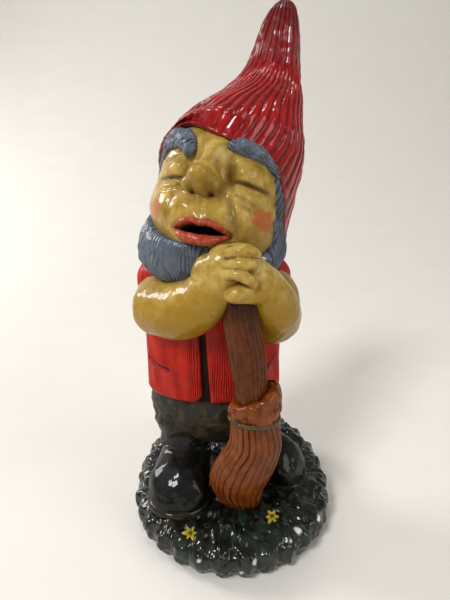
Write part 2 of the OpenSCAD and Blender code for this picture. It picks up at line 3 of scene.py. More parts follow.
import bmesh
import bpy
import numpy as np
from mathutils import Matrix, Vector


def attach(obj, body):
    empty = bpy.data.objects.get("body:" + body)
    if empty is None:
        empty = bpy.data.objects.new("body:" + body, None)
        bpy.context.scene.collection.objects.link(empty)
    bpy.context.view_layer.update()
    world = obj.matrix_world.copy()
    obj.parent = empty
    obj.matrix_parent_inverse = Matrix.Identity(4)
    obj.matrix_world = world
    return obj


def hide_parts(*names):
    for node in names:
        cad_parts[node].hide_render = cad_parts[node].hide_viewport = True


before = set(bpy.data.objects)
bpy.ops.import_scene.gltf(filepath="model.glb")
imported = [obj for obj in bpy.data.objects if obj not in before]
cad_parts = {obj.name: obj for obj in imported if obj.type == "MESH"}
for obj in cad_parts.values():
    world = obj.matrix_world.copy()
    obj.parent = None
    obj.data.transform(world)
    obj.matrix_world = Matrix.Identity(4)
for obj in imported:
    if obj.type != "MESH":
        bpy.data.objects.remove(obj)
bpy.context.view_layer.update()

# Camera: held about a quarter of a metre in front of the figure, level with its brow and tipped down.
# Its place is in mm, and its focal length in pixels of the picture, which is 450 wide and 600 high.
picture_h = 600
focal_px = 451
camera_at = (-4.7, -255.6, 217.0)
tipped_down = 17.0
camera = bpy.data.objects.new("camera", bpy.data.cameras.new("camera"))
camera.data.sensor_fit = "VERTICAL"
camera.data.sensor_height = 36.0
camera.data.lens = focal_px * camera.data.sensor_height / picture_h
camera.data.clip_start = 0.01
camera.location = [v / 1000 for v in camera_at]
camera.rotation_euler = (math.radians(90 - tipped_down), 0, 0)
bpy.context.scene.collection.objects.link(camera)
bpy.context.scene.camera = camera


# Studio: a roll of pale paper that runs under the figure and curves up behind it, a large soft lamp high on
# the left in front, a small one to the left and behind, another above, a weak wide one on the right, and
# pale light all round. Its sizes are in metres.
def linear(code):
    """An sRGB hex colour as linear light: ((c + 0.055) / 1.055) ** 2.4 by channel, or c / 12.92 near 0."""
    channel = np.array([int(code[i:i + 2], 16) for i in (1, 3, 5)]) / 255
    return (*np.where(channel < 0.0405, channel / 12.92, ((channel + 0.055) / 1.055) ** 2.4).tolist(), 1.0)


def add_node(tree, kind, inputs={}, **settings):
    """Adds one shader node: settings are its own properties, and an input is a plain value or an output."""
    node = tree.nodes.new("ShaderNode" + kind)
    for name, value in settings.items():
        setattr(node, name, value)
    for name, value in inputs.items():
        if isinstance(value, bpy.types.NodeSocket):
            tree.links.new(value, node.inputs[name])
        else:
            node.inputs[name].default_value = value
    return node


# Uncoated paper: matt, and faintly mottled by fibres that are drawn coarser than real, so that they show.
paper = bpy.data.materials.new("uncoated_paper")
paper.use_nodes = True
tree = paper.node_tree
fibre_mm = 60
place = add_node(tree, "TexCoord").outputs["Object"]
fibre = add_node(tree, "TexNoise", {"Vector": place, "Scale": 1000 / fibre_mm, "Detail": 4.0})
tint = add_node(tree, "Mix", {0: fibre.outputs["Fac"], 6: linear("#DDD9D2"), 7: linear("#E4E0D9")},
                data_type="RGBA")
tree.links.new(tint.outputs[2], tree.nodes["Principled BSDF"].inputs["Base Color"])
tree.nodes["Principled BSDF"].inputs["Roughness"].default_value = 0.9

paper_reach, paper_h = 6.0, 5.0
bend_at, bend_r = 0.4, 1.3
bend = np.linspace(0, np.pi / 2, 24)
run_y = np.concatenate([[-paper_reach], bend_at + bend_r * np.sin(bend), [bend_at + bend_r]])
run_z = np.concatenate([[0.0], bend_r - bend_r * np.cos(bend), [paper_h]])
across = np.array([-paper_reach, paper_reach])
sheet = np.stack(np.broadcast_arrays(across, run_y[:, None], run_z[:, None]), -1).reshape(-1, 3)
first = np.arange(len(run_y) - 1)[:, None] * 2
floor_mesh = bpy.data.meshes.new("paper_roll")
floor_mesh.from_pydata(sheet.tolist(), [], (first + np.array([0, 1, 3, 2])).tolist())
floor_mesh.polygons.foreach_set("use_smooth", np.ones(len(first), bool))
floor_mesh.materials.append(paper)
floor = bpy.data.objects.new("paper_roll", floor_mesh)
bpy.context.scene.collection.objects.link(floor)

bpy.context.scene.view_settings.view_transform = "Standard"
world = bpy.data.worlds.new("pale_room")
world.use_nodes = True
world.node_tree.nodes["Background"].inputs["Color"].default_value = linear("#F2EFEA")
world.node_tree.nodes["Background"].inputs["Strength"].default_value = 0.25
bpy.context.scene.world = world
# Each lamp has its place, its width and its watts, and points at the middle of the figure.
lamps = {"key_lamp": ((-1.1, -1.5, 1.75), 0.6, 42), "rim_lamp": ((-1.35, 0.55, 0.85), 0.5, 14),
         "top_lamp": ((-0.1, 0.15, 1.6), 0.28, 4), "fill_lamp": ((1.6, -1.0, 0.95), 1.2, 14)}
aim = Vector((0, 0, 0.16))
for name, (at, width, watts) in lamps.items():
    lamp = bpy.data.objects.new(name, bpy.data.lights.new(name, "AREA"))
    lamp.data.size = width
    lamp.data.energy = watts
    lamp.location = at
    lamp.rotation_euler = (aim - lamp.location).to_track_quat("-Z", "Y").to_euler()
    bpy.context.scene.collection.objects.link(lamp)


# Grass mound: the round foot of the figure, cast in one with it. Its skin is modelled as blades of grass
# that lie outwards and overlap, painted black-green, varnished, and chipped to the white plaster. Teal on
# the tips of the blades is a painted highlight.
def ease(t):
    """The smooth step t * t * (3 - 2 t), held at 0 below 0 and at 1 above 1."""
    t = np.clip(t, 0, 1)
    return t * t * (3 - 2 * t)


def full_turn(count):
    """That many angles at equal steps round a circle."""
    return np.linspace(0, 2 * np.pi, count, endpoint=False)


def smooth_rows(stations, count):
    """A smooth run through rows of numbers: between two rows a cubic, whose slope at each row is half the
    step between its two neighbours (Catmull-Rom), sampled count times at equal shares of the rows."""
    stations = np.asarray(stations, float)
    last = len(stations) - 1
    share = np.linspace(0, last, count)
    i = np.minimum(share.astype(int), last - 1)
    t = (share - i).reshape(-1, *[1] * (stations.ndim - 1))
    a, b, c, d = (stations[np.clip(i + k, 0, last)] for k in (-1, 0, 1, 2))
    return 0.5 * (2 * b + (c - a) * t + (2 * a - 5 * b + 4 * c - d) * t ** 2
                  + (3 * b - a - 3 * c + d) * t ** 3)


def even_rows(path, count, scale=1.0):
    """The same run of rows sampled at equal steps of its length, each column being measured in its scale."""
    length = np.concatenate([[0], np.cumsum(np.linalg.norm(np.diff(path * scale, axis=0), axis=1))])
    steps = np.linspace(0, length[-1], count)
    return np.stack([np.interp(steps, length, path[:, k]) for k in range(path.shape[1])], 1), steps


def scatter(number, seed):
    """A fixed random share from 0 to 1 for a whole number n: the fraction of 43758.5 sin(13 n + 78 seed)."""
    value = np.sin(number * 12.9898 + seed * 78.233) * 43758.5453
    return value - np.floor(value)


def lumps(points, size, seed=0):
    """Smooth noise from -1 to 1 over points in mm: a random value at each corner of a lattice of that size,
    blended between the eight corners of a cell by smooth steps."""
    scaled = points / size + 31.7 * seed
    cell = np.floor(scaled)
    part = scaled - cell
    part = part * part * (3 - 2 * part)
    total = 0
    for corner in np.ndindex(2, 2, 2):
        value = scatter((cell + corner) @ [1.0, 57.0, 113.0], seed)
        total = total + (2 * value - 1) * np.prod(np.where(corner, part, 1 - part), -1)
    return total


def facing(skin):
    """Unit normals of a grid of rings: the step along a ring crossed with the step between rings."""
    normal = np.cross(np.roll(skin, -1, 1) - np.roll(skin, 1, 1), np.gradient(skin, axis=0))
    return normal / np.maximum(np.linalg.norm(normal, axis=-1, keepdims=True), 1e-9)


def relief(skin, height):
    """A grid moved out along its normals by a height in mm at each point."""
    return skin + facing(skin) * height[..., None]


def cast(name, skins, ends="fan", **paints):
    """One piece of the casting, as a mesh of closed skins. A skin is a grid of points in mm whose rows are
    closed rings. Its end rings are closed by a fan about their middle, folded flat on themselves, or joined
    in a loop. A skin whose volume, the sum of (a x b) . c over its triangles, is negative is turned round.
    Each paint has a value for each grid point, which becomes an attribute."""
    points, quads, fans, values, first = [], [], [], {key: [] for key in paints}, 0
    for number, skin in enumerate(skins):
        rows, columns = skin.shape[:2]
        ring = np.arange(columns)
        after = np.roll(ring, -1)
        low = (np.arange(rows if ends == "loop" else rows - 1) * columns)[:, None]
        high = (low + columns) % (rows * columns)
        quad = np.stack([low + ring, low + after, high + after, high + ring], -1).reshape(-1, 4)
        flat, fan = skin.reshape(-1, 3), np.zeros((0, 3), int)
        if ends == "fan":
            top, pole = (rows - 1) * columns, np.full(columns, rows * columns)
            fan = np.concatenate([np.stack([after, ring, pole], -1),
                                  np.stack([top + ring, top + after, pole + 1], -1)])
            flat = np.concatenate([flat, skin[[0, -1]].mean(axis=1)])
        triangle = np.concatenate([quad[:, :3], quad[:, [0, 2, 3]], fan])
        a, b, c = (flat[triangle[:, k]] for k in range(3))
        if np.sum(np.cross(a, b) * c) < 0:
            quad, fan = quad[:, ::-1], fan[:, ::-1]
        points.append(flat)
        quads.append(quad + first)
        fans.append(fan + first)
        for key in paints:
            value = np.broadcast_to(paints[key][number], (rows, columns))
            poles = value[[0, -1]].mean(axis=1) if ends == "fan" else []
            values[key].append(np.concatenate([value.ravel(), poles]))
        first += len(flat)
    points, quads, fans = np.concatenate(points) / 1000, np.concatenate(quads), np.concatenate(fans)
    mesh = bpy.data.meshes.new(name)
    mesh.vertices.add(len(points))
    mesh.vertices.foreach_set("co", points.ravel())
    mesh.loops.add(quads.size + fans.size)
    mesh.polygons.add(len(quads) + len(fans))
    starts = np.concatenate([np.arange(len(quads)) * 4, quads.size + np.arange(len(fans)) * 3])
    mesh.polygons.foreach_set("loop_start", starts.astype(np.int32))
    mesh.polygons.foreach_set("vertices", np.concatenate([quads.ravel(), fans.ravel()]).astype(np.int32))
    mesh.polygons.foreach_set("use_smooth", np.ones(len(quads) + len(fans), bool))
    mesh.update(calc_edges=True)
    for key, value in values.items():
        attribute = mesh.attributes.new(key, "FLOAT", "POINT")
        attribute.data.foreach_set("value", np.concatenate(value).astype(np.float32))
    if ends == "fold":
        shell = bmesh.new()
        shell.from_mesh(mesh)
        bmesh.ops.remove_doubles(shell, verts=shell.verts, dist=1e-6)
        shell.to_mesh(mesh)
        shell.free()
    piece = bpy.data.objects.new(name, mesh)
    bpy.context.scene.collection.objects.link(piece)
    return piece


def seat(piece, paint, slot, *nodes):
    """Paints a piece and sets it on the figure in place of the nodes that it stands for."""
    piece.data.materials.append(paint)
    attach(piece, "root")
    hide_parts(*nodes)


def varnished_paint(name, tones, washes=(), roughness=0.4, varnish=0.5, blot_mm=9, grit_mm=0.9,
                    grit_depth=0.16):
    """Oil paint laid by brush on plaster, and varnished. Soft blots blend two tones; the third lies in
    stains twice as wide; each wash, an attribute and a colour, lies over them as far as the attribute says;
    grit of the plaster, drawn coarse so that it shows, is a fine bump; and the varnish is a clear coat with
    small sharp highlights."""
    material = bpy.data.materials.new(name)
    material.use_nodes = True
    tree = material.node_tree
    tree.nodes.clear()
    place = add_node(tree, "TexCoord").outputs["Object"]
    blots = add_node(tree, "TexNoise", {"Vector": place, "Scale": 1000 / blot_mm, "Detail": 5.0,
                                        "Roughness": 0.62})
    blend = add_node(tree, "MapRange", {"Value": blots.outputs["Fac"], "From Min": 0.36, "From Max": 0.64})
    colour = add_node(tree, "Mix", {0: blend.outputs[0], 6: linear(tones[0]), 7: linear(tones[1])},
                      data_type="RGBA")
    stains = add_node(tree, "TexNoise", {"Vector": place, "Scale": 500 / blot_mm, "Detail": 4.0,
                                         "Distortion": 0.6})
    cover = add_node(tree, "MapRange", {"Value": stains.outputs["Fac"], "From Min": 0.5, "From Max": 0.72,
                                        "To Max": 0.7})
    colour = add_node(tree, "Mix", {0: cover.outputs[0], 6: colour.outputs[2], 7: linear(tones[2])},
                      data_type="RGBA")
    for attribute, wash in washes:
        cover = add_node(tree, "Attribute", attribute_name=attribute).outputs["Fac"]
        colour = add_node(tree, "Mix", {0: cover, 6: colour.outputs[2], 7: linear(wash)}, data_type="RGBA")
    dull = add_node(tree, "MapRange", {"Value": blots.outputs["Fac"], "From Min": 0.3, "From Max": 0.7,
                                       "To Min": roughness - 0.07, "To Max": roughness + 0.1})
    grit = add_node(tree, "TexNoise", {"Vector": place, "Scale": 1000 / grit_mm, "Detail": 3.0})
    bump = add_node(tree, "Bump", {"Height": grit.outputs["Fac"], "Strength": 0.6,
                                   "Distance": grit_depth / 1000})
    shader = add_node(tree, "BsdfPrincipled", {
        "Base Color": colour.outputs[2], "Roughness": dull.outputs[0], "Normal": bump.outputs[0],
        "Specular IOR Level": 0.12, "Coat Weight": varnish, "Coat Roughness": 0.08})
    add_node(tree, "OutputMaterial", {"Surface": shader.outputs[0]})
    return material


def blades(turn, along, count, length, seed):
    """Height from 0 to 1 of one coat of grass. The skin is cut into count strips round the mound, and each
    strip into blades of that length. A blade is an arch across its strip. It is high and pointed at its
    tip, sinks towards its root, and steps down at its tip to the root of the blade below."""
    strip = count * turn / (2 * np.pi)
    number = np.floor(strip)
    across = 2 * (strip - number) - 1
    number = number % count
    part = along / length + scatter(number, seed)
    blade = np.floor(part)
    part = part - blade
    size = 0.5 + 0.5 * scatter(number * 37 + blade, seed + 1)
    lean = 0.9 * (scatter(number * 53 + blade, seed + 2) - 0.5)
    width = np.clip(part / 0.5, 0.02, 1) ** 0.6
    arch = np.clip(1 - ((across - lean * (0.5 - part)) / width) ** 2, 0, 1)
    return size * (1 - 0.75 * part) * arch


mound_w, mound_d, wall_h, back_rise = 63.0, 68.5, 16.0, 15.0
tufts = 30
turn = full_turn(620)
# The outline from the floor to the top, in shares of the mound's half size and of its wall's height.
outline = smooth_rows([[0.93, 0], [0.985, 0.5], [0.965, 0.95], [0.84, 1.2], [0.68, 1.27], [0.52, 1.3],
                       [0.36, 1.3], [0.03, 1.3]], 600)
outline, along = even_rows(outline, 150, np.array([65.0, wall_h]))
reach, height, along = outline[:, :1], outline[:, 1:], along[:, None]
mound_rise = back_rise * ease((np.sin(turn) * reach + 0.1) / 1.1) * ease(height / 1.2)
scallop = reach + 0.018 * np.cos(tufts * turn) * ease((1.2 - height) / 0.25)
tuft = (-1.2 * np.cos(tufts // 2 * turn) * np.cos(np.pi * (0.84 - reach) / 0.16)
        * ease((height - 0.95) / 0.25) * ease((reach - 0.2) / 0.16))
skin = np.stack([mound_w * scallop * np.cos(turn), mound_d * scallop * np.sin(turn),
                 wall_h * height + mound_rise + tuft], -1)
wander = turn + 0.11 * lumps(skin, 19, 1) + 0.05 * lumps(skin, 8, 2)
grass = np.maximum.reduce([blades(wander, along, 40, 21, 1), 0.85 * blades(wander + 0.03, along, 62, 14, 4),
                           0.7 * blades(wander - 0.05, along, 84, 11, 7)])
above_floor, off_middle = ease(skin[..., 2] / 4), ease(reach / 0.25)
tall = (1.0 + 1.3 * ease((reach - 0.3) / 0.5)) * above_floor * off_middle
clods = (1.0 * lumps(skin, 6, 6) + 0.5 * lumps(skin, 2.6, 7)) * above_floor * off_middle
skin = relief(skin, grass * tall + clods - 0.5 * above_floor)
# The places of the chips in mm, and their radii.
chips = np.array([[51.3, -37.7, 15.5, 1.7], [36.2, -50, 17.9, 1.9], [32, -55.7, 16.4, 1.0],
                  [11.6, -66.1, 13, 1.6], [-18.2, -66, 13, 1.4], [3.9, -69.2, 7.9, 1.8]])
ragged = 1 + 0.6 * lumps(skin, 2.2, 3)
chipped = np.max([ease(r * ragged + 0.4 - np.linalg.norm(skin - [x, y, z], axis=-1))
                  for x, y, z, r in chips], axis=0)
teal = grass ** 1.5 * ease(0.3 + 1.2 * lumps(skin, 12, 5))
# Green paint under thick varnish: nearly black between the blades, teal on their tips as a painted
# highlight, and wet to the eye.
grass_paint = varnished_paint(
    "varnished_green_oil_paint", ("#060906", "#121812", "#1C160A"),
    [("tip", "#1F4A3C"), ("dirt", "#050605"), ("chip", "#DAD7CD")],
    roughness=0.34, varnish=0.7, blot_mm=12, grit_depth=0.3)
mound = cast("grass_mound_skin", [skin], tip=[0.7 * teal], dirt=[ease(1 - grass * 4) * 0.6], chip=[chipped])
seat(mound, grass_paint, "grass_paint", "grass_mound")


# Flowers: two small flowers with six petals round a sunk heart. They are modelled on the grass in front and
# cast in one with it, and each leans with the slope that it lies on.
flower_r = 4.1
petal_turn = full_turn(72)
petal_rows = smooth_rows([[0.6, -2.5], [0.95, -0.6], [1.0, 0.4], [0.72, 1.0], [0.4, 0.6], [0.28, 1.0],
                          [0.05, 1.3]], 30)
out, up = petal_rows[:, :1], petal_rows[:, 1:] + 0 * petal_turn
flowers = []
for x, y, z, slope in ((-24, -53.5, 19.4, 24), (22.5, -43, 21.0, 16)):
    petal = (0.26 * np.cos(6 * petal_turn) + 0.1 * np.cos(2 * petal_turn + x)
             + 0.08 * np.cos(3 * petal_turn + y))
    r = flower_r * out * (0.76 + petal * ease(out * 2))
    tip = math.radians(slope)
    ahead = r * np.sin(petal_turn)
    flowers.append(np.stack([x + r * np.cos(petal_turn), y + ahead * math.cos(tip) - up * math.sin(tip),
                             z + up * math.cos(tip) + ahead * math.sin(tip)], -1))
# Yellow paint, dabbed on: it is uneven, and dark in the heart, where the dab is thin.
yellow_paint = varnished_paint("varnished_yellow_oil_paint", ("#8F8410", "#B0A01C", "#6A5E10"),
                               [("heart", "#3A340C")], blot_mm=3)
heart = [ease((0.42 - out) * 12)] * 2
seat(cast("yellow_flowers", flowers, heart=heart), yellow_paint, "flower_paint", "flowers")


# Boots: short, round-toed boots on welted soles that are sunk into the grass. They are cast in one with the
# figure, and painted black and olive-brown. The right one points ahead, the left one out to the side.
def sole(toe, heel, half_w):
    """A sole: the outline round two circles, one under the ball and one under the heel. Each of its points
    is the farthest one along a turning direction. It is carried up a profile of rows [out, z]."""
    toe, heel = np.array(toe, float), np.array(heel, float)
    turn = np.linspace(0, 2 * np.pi, 721)
    out = np.stack([np.cos(turn), np.sin(turn)], -1)
    rounds = [(toe * 0.72 + heel * 0.28, half_w), (heel * 0.78 + toe * 0.22, half_w * 0.86)]
    reaches = np.stack([out @ centre + r for centre, r in rounds])
    points = np.stack([centre + r * out for centre, r in rounds])
    edge = points[reaches.argmax(0), np.arange(len(turn))]
    edge = even_rows(edge, 241)[0][:-1]
    step = np.roll(edge, -1, 0) - np.roll(edge, 1, 0)
    out = np.stack([step[:, 1], -step[:, 0]], -1) / np.linalg.norm(step, axis=1, keepdims=True)
    profile = smooth_rows([[-4, 15], [-0.5, 16.5], [0.7, 19.5], [0.5, 22], [-1.0, 23.4], [-4, 23.8]], 24)
    flat = edge + out * profile[:, None, :1]
    skin = np.concatenate([flat, np.broadcast_to(profile[:, None, 1:], flat.shape[:2] + (1,))], -1)
    return relief(skin, 0.35 * lumps(skin, 5, 6))


def boot(toe, heel, half_w):
    """A boot: rings [along the foot, z, half length, half width, tilt] that lie level in the shaft, turn
    about the instep and stand upright in the toe. A ring's points go across the foot by the cosine, and
    back or down by the sine. The rings fit a foot 62.6 long and 17 to each side, and grow with it. Creases
    run round the ankle."""
    toe, heel = np.array(toe, float), np.array(heel, float)
    length = np.linalg.norm(toe - heel)
    ahead = (toe - heel) / length
    grow, wide = length / 62.6, half_w / 17
    rings = smooth_rows([
        [23.8, 60, 14.6, 14.6, 0], [23.8, 53, 15.4, 15.0, 0], [22.4, 46, 17.2, 15.0, 8],
        [19.8, 40.5, 20.4, 14.6, 20], [22.0, 36, 22.4, 14.8, 42], [31, 34, 17.4, 15.6, 66],
        [41, 32.2, 15.0, 16.6, 86], [50, 30.2, 13.9, 17.0, 91], [56.5, 28, 11.2, 14.8, 93],
        [60.6, 25.8, 7.6, 10, 95], [62.6, 24.6, 2.2, 3, 95]], 130)
    s, z, half_l, half_c, tilt = (rings[:, k:k + 1] for k in range(5))
    tilt = np.radians(tilt)
    turn = full_turn(160)
    half_l = half_l * (grow * np.cos(tilt) ** 2 + np.sin(tilt) ** 2)
    back = s * grow - half_l * np.cos(tilt) * np.sin(turn)
    side = half_c * wide * np.cos(turn)
    up = z - half_l * np.sin(tilt) * np.sin(turn)
    skin = np.stack([heel[0] + ahead[0] * back - ahead[1] * side,
                     heel[1] + ahead[1] * back + ahead[0] * side, up], -1)
    crease = np.sin(z * 1.4 + 2.2 * lumps(skin, 8, 2)) * ease(1 - np.abs(z - 44) / 11)
    crease = crease * ease((70 - np.degrees(tilt)) / 30)
    uneven = 0.9 * lumps(skin, 8, 3) + 0.25 * lumps(skin, 3.2, 4) + 0.1 * lumps(skin, 1.6, 5)
    return relief(skin, uneven - 0.8 * crease)


# Olive paint, varnished: a dull brown-green rim that sets the sole off from the black boot.
sole_paint = varnished_paint("varnished_olive_oil_paint", ("#100E08", "#211A0C", "#2E240E"),
                             roughness=0.4, varnish=0.4, blot_mm=6, grit_depth=0.3)
# Black paint, varnished over uneven plaster: deep black, with broken highlights.
boot_paint = varnished_paint("varnished_black_oil_paint", ("#050505", "#0C0C0B", "#171007"),
                             roughness=0.38, varnish=0.38, blot_mm=9, grit_depth=0.7)
welt = 1.5
right_foot, left_foot = ((-34.4, -42), (-27, 20)), ((44, -13), (3, 15))
for side, foot, half_w in (("right", right_foot, 17.8), ("left", left_foot, 14)):
    seat(cast(side + "_sole_rim", [sole(*foot, half_w + welt)]), sole_paint, "sole_paint", side + "_sole")
    seat(cast(side + "_boot_upper", [boot(*foot, half_w)]), boot_paint, "boot_paint", side + "_boot")


# Trousers: two short full legs under one hip, which bag over the boots. They are part of the casting,
# modelled with soft folds.
def stack(stations, rows, columns):
    """Level ellipses one above the other, in rows [z, x, y, half width, half depth] that run smoothly on."""
    rings = smooth_rows(stations, rows)
    z, x, y, half_w, half_d = (rings[:, k:k + 1] for k in range(5))
    turn = full_turn(columns)
    return np.stack([x + half_w * np.cos(turn), y + half_d * np.sin(turn), z + 0 * turn], -1)


hips = stack([[52, -11, 4, 33, 20], [63, -12, 4, 38, 25], [76, -12, 4, 39.5, 27.5], [85, -12, 2, 36.2, 24.7],
              [93, -12, 2, 34, 23]], 90, 300)
# A leg's rings, from its place and in shares of its radius.
leg_rows = np.array([[50, 0, 2, 0.78, 0.86], [54, 0, 2, 0.87, 0.96], [58.5, 0, 2, 0.95, 1.05],
                     [65, 0, 2, 1.0, 1.12], [73, 2, 4, 0.9, 1.0], [80, 5, 6, 0.6, 0.7]])
legs = [stack(leg_rows * [1, 1, 1, r, r] + [0, x, y, 0, 0], 60, 160)
        for x, y, r in ((-31, -2, 18), (6, 7, 16))]
folded = [relief(skin, 0.9 * lumps(skin * [1, 1, 0.6], 9, 4) + 0.4 * lumps(skin, 3.4, 5)
                 + 0.18 * lumps(skin, 1.6, 6)) for skin in [hips] + legs]
rubbed = [0.35 * ease(1.4 * lumps(skin * [1, 1, 0.5], 3.6, 8)) for skin in folded]
# Black-brown paint with a thin varnish: a soft sheen, with paler streaks where it is rubbed.
trouser_paint = varnished_paint("satin_black_brown_oil_paint", ("#1A1913", "#2B271B", "#302616"),
                                [("rub", "#54442E")], roughness=0.5, varnish=0.25, blot_mm=8, grit_depth=0.3)
seat(cast("trouser_legs", folded, rub=rubbed), trouser_paint, "trouser_paint", "trousers")


# Shirt: the torso inside the waistcoat, part of the casting. It shows only as a dark strip in the gap between
# the fronts, and lies just under their inner faces.
cloth_t = 4.0
under_cloth = cloth_t - 0.6
torso_rows = np.array([[85, -12, 2, 41, 29.5], [105, -12, 1, 40.5, 31], [133, -11.5, 1, 41.5, 31],
                       [155, -11, 2, 44.5, 29], [167, -11, 3, 35.5, 25], [176, -11, 4, 22.5, 20]], float)
shirt = stack(torso_rows - [0, 0, 0, under_cloth, under_cloth], 60, 160)
# Olive paint without varnish: a dull dark gap.
shirt_paint = varnished_paint("dull_olive_oil_paint", ("#0C0B05", "#16140A", "#1A170B"),
                              roughness=0.6, varnish=0.0)
seat(cast("shirt_torso", [shirt]), shirt_paint, "shirt_paint", "shirt")


# Waistcoat: a thick sleeveless shell of a back and two fronts, with a slit pocket in each front. It is
# modelled on the torso, and combed with fine upright grooves before the figure was cast.
def combed(angle, sharp):
    """Grooves from 0 to 1: half of 1 plus the cosine of the angle, to a power that makes them narrow."""
    return (0.5 + 0.5 * np.cos(angle)) ** sharp


def waistcoat_panel(low_turn, high_turn, corner, columns, rows=84, top=174.0, hem=85.0, groove_mm=1.25,
                    pocket=None):
    """A panel of the torso's skin between two edges, given in degrees round the body for each z. It is as
    thick as the cloth, and towards its edges the two faces close in an ellipse, so that the edges are
    rounded. The hem is lifted by a quarter circle at the corner by the high edge. The outer face is combed:
    a cosine of the length round the body sinks it, and a pocket is a slit along a line of rows [turn, z],
    with a raised lip."""
    across = 0.5 - 0.5 * np.cos(np.linspace(0, np.pi, columns))
    rise = 0.5 - 0.5 * np.cos(np.linspace(0, np.pi, rows)[:, None])
    hem_r, comb_r, mm_per_degree = 36, 37, 0.62
    width = abs(math.radians(high_turn(hem) - low_turn(hem))) * hem_r
    lift = corner - np.sqrt(np.maximum(corner ** 2 - np.maximum(corner - (1 - across) * width, 0) ** 2, 0))
    z = hem + lift + (top - hem - lift) * rise
    turn = np.radians(low_turn(z) + (high_turn(z) - low_turn(z)) * across)
    rows_z = smooth_rows(torso_rows, 300)
    x, y, half_w, half_d = (np.interp(z, rows_z[:, 0], rows_z[:, k]) for k in range(1, 5))
    out = np.stack([np.cos(turn) / half_w, np.sin(turn) / half_d, 0 * z], -1)
    out /= np.linalg.norm(out, axis=-1, keepdims=True)
    face = np.stack([x + half_w * np.cos(turn), y + half_d * np.sin(turn), z], -1)
    margin = np.minimum.reduce([np.minimum(across, 1 - across) * width + 0 * z, z - hem - lift, top - z])
    close = np.sqrt(1 - (1 - np.clip(margin / 2.4, 0, 1)) ** 2)
    comb = (turn * comb_r / groove_mm + 0.7 * lumps(face * [1, 1, 0.3], 7, 6)
            + 0.25 * lumps(face * [1, 1, 0.5], 3, 8))
    press = np.clip(0.6 + 0.9 * lumps(face * [1, 1, 0.25], 4, 7), 0.1, 1)
    groove = combed(2 * np.pi * comb, 2) * close * press
    swell = 0.5 * lumps(face, 16, 9) + 0.15 * lumps(face, 3, 4)
    slit = 0 * z
    if pocket is not None:
        path = smooth_rows(pocket, 40)
        aside = (np.degrees(turn)[..., None] - path[:, 0]) * mm_per_degree
        gap = np.hypot(aside, z[..., None] - path[:, 1]).min(-1)
        slit = np.exp(-(gap / 1.0) ** 4)
        groove = groove * ease(gap - 1.2)
        swell = swell + 0.8 * np.exp(-((gap - 2.3) / 1.2) ** 2)
    depth = cloth_t / 2
    outer = face + out * (depth * (close - 1) + (swell - 0.5 * groove - 1.9 * slit) * close)[..., None]
    inner = face + out * (-depth * (close + 1))[..., None]
    ring = np.concatenate([outer, inner[:, -2:0:-1]], 1)
    fill = np.zeros((rows, columns - 2))
    return ring, np.concatenate([groove, fill], 1), np.concatenate([slit, fill], 1)


def at_x(x, z):
    """The turn in degrees at which the front of the torso has that x, at height z."""
    rows_z = smooth_rows(torso_rows, 300)
    middle, half_w = (np.interp(z, rows_z[:, 0], rows_z[:, k]) for k in (1, 3))
    return 360 - np.degrees(np.arccos(np.clip((x - middle) / half_w, -1, 1)))


# The fronts meet the back at seams under the arms, and stand apart about a line in front, wider at the neck.
left_seam, right_seam = (lambda z: 4 + 0 * z), (lambda z: 176 + 0 * z)
gap_x, gap_z = -17.3, [85, 130, 155, 174]
right_edge = lambda z: at_x(gap_x - np.interp(z, gap_z, [0.2, 1.5, 1.5, 7]), z)
left_edge = lambda z: at_x(gap_x + np.interp(z, gap_z, [4.6, 1.5, 1.5, 7]), z) - 360
panels = {
    "right_front": waistcoat_panel(right_seam, right_edge, 7.0, 300, rows=124,
                                   pocket=[[206, 108.2], [220, 105.4], [233, 104.2]]),
    "left_front": waistcoat_panel(left_seam, left_edge, 1.0, 330, rows=124,
                                  pocket=[[-42, 104.5], [-35, 107.5], [-27, 110.5]]),
    "back": waistcoat_panel(left_seam, right_seam, 1.0, 470),
}
# Orange-red paint with little varnish: a strong even red lined by dark grooves, with blue-black pockets.
waistcoat_paint = varnished_paint(
    "satin_orange_red_oil_paint", ("#A01505", "#B82008", "#8A0F04"),
    [("groove", "#5E0A03"), ("pocket", "#15142A")],
    roughness=0.46, varnish=0.14, blot_mm=9, grit_depth=0.25)
for part, (skin, groove, slit) in panels.items():
    piece = cast("waistcoat_" + part + "_panel", [skin], ends="fold", groove=[0.75 * groove], pocket=[slit])
    seat(piece, waistcoat_paint, "waistcoat_paint", "waistcoat_" + part)


# Arms and hands: bare, thick arms that come out of the waistcoat to the hands, clasped on top of the handle.
# They are rolled and pressed together from clay before casting, and painted as yellowed, varnished flesh.
def unit(v):
    """Vectors scaled to length 1."""
    return v / np.maximum(np.linalg.norm(v, axis=-1, keepdims=True), 1e-9)


def limb(stations, ref, rows=60, columns=48):
    """A round bar along a smooth curve of rows [x, y, z, half width, half height]. Each ring is an ellipse
    square to the curve, its width across ref, and half balls close the ends."""
    path = smooth_rows(stations, rows)
    ahead = unit(np.gradient(path[:, :3], axis=0))
    cap = np.radians(np.linspace(12, 84, 7))[:, None]
    before, after = path[0, 3:].mean(), path[-1, 3:].mean()
    centre = np.concatenate([path[0, :3] - ahead[0] * before * np.sin(cap[::-1]), path[:, :3],
                             path[-1, :3] + ahead[-1] * after * np.sin(cap)])
    half = np.concatenate([path[0, 3:] * np.cos(cap[::-1]), path[:, 3:], path[-1, 3:] * np.cos(cap)])
    ahead = np.concatenate([np.repeat(ahead[:1], 7, 0), ahead, np.repeat(ahead[-1:], 7, 0)])
    side = unit(np.cross(ref, ahead))
    up = np.cross(ahead, side)
    turn = full_turn(columns)[:, None]
    return (centre[:, None] + side[:, None] * half[:, None, :1] * np.cos(turn)
            + up[:, None] * half[:, None, 1:] * np.sin(turn))


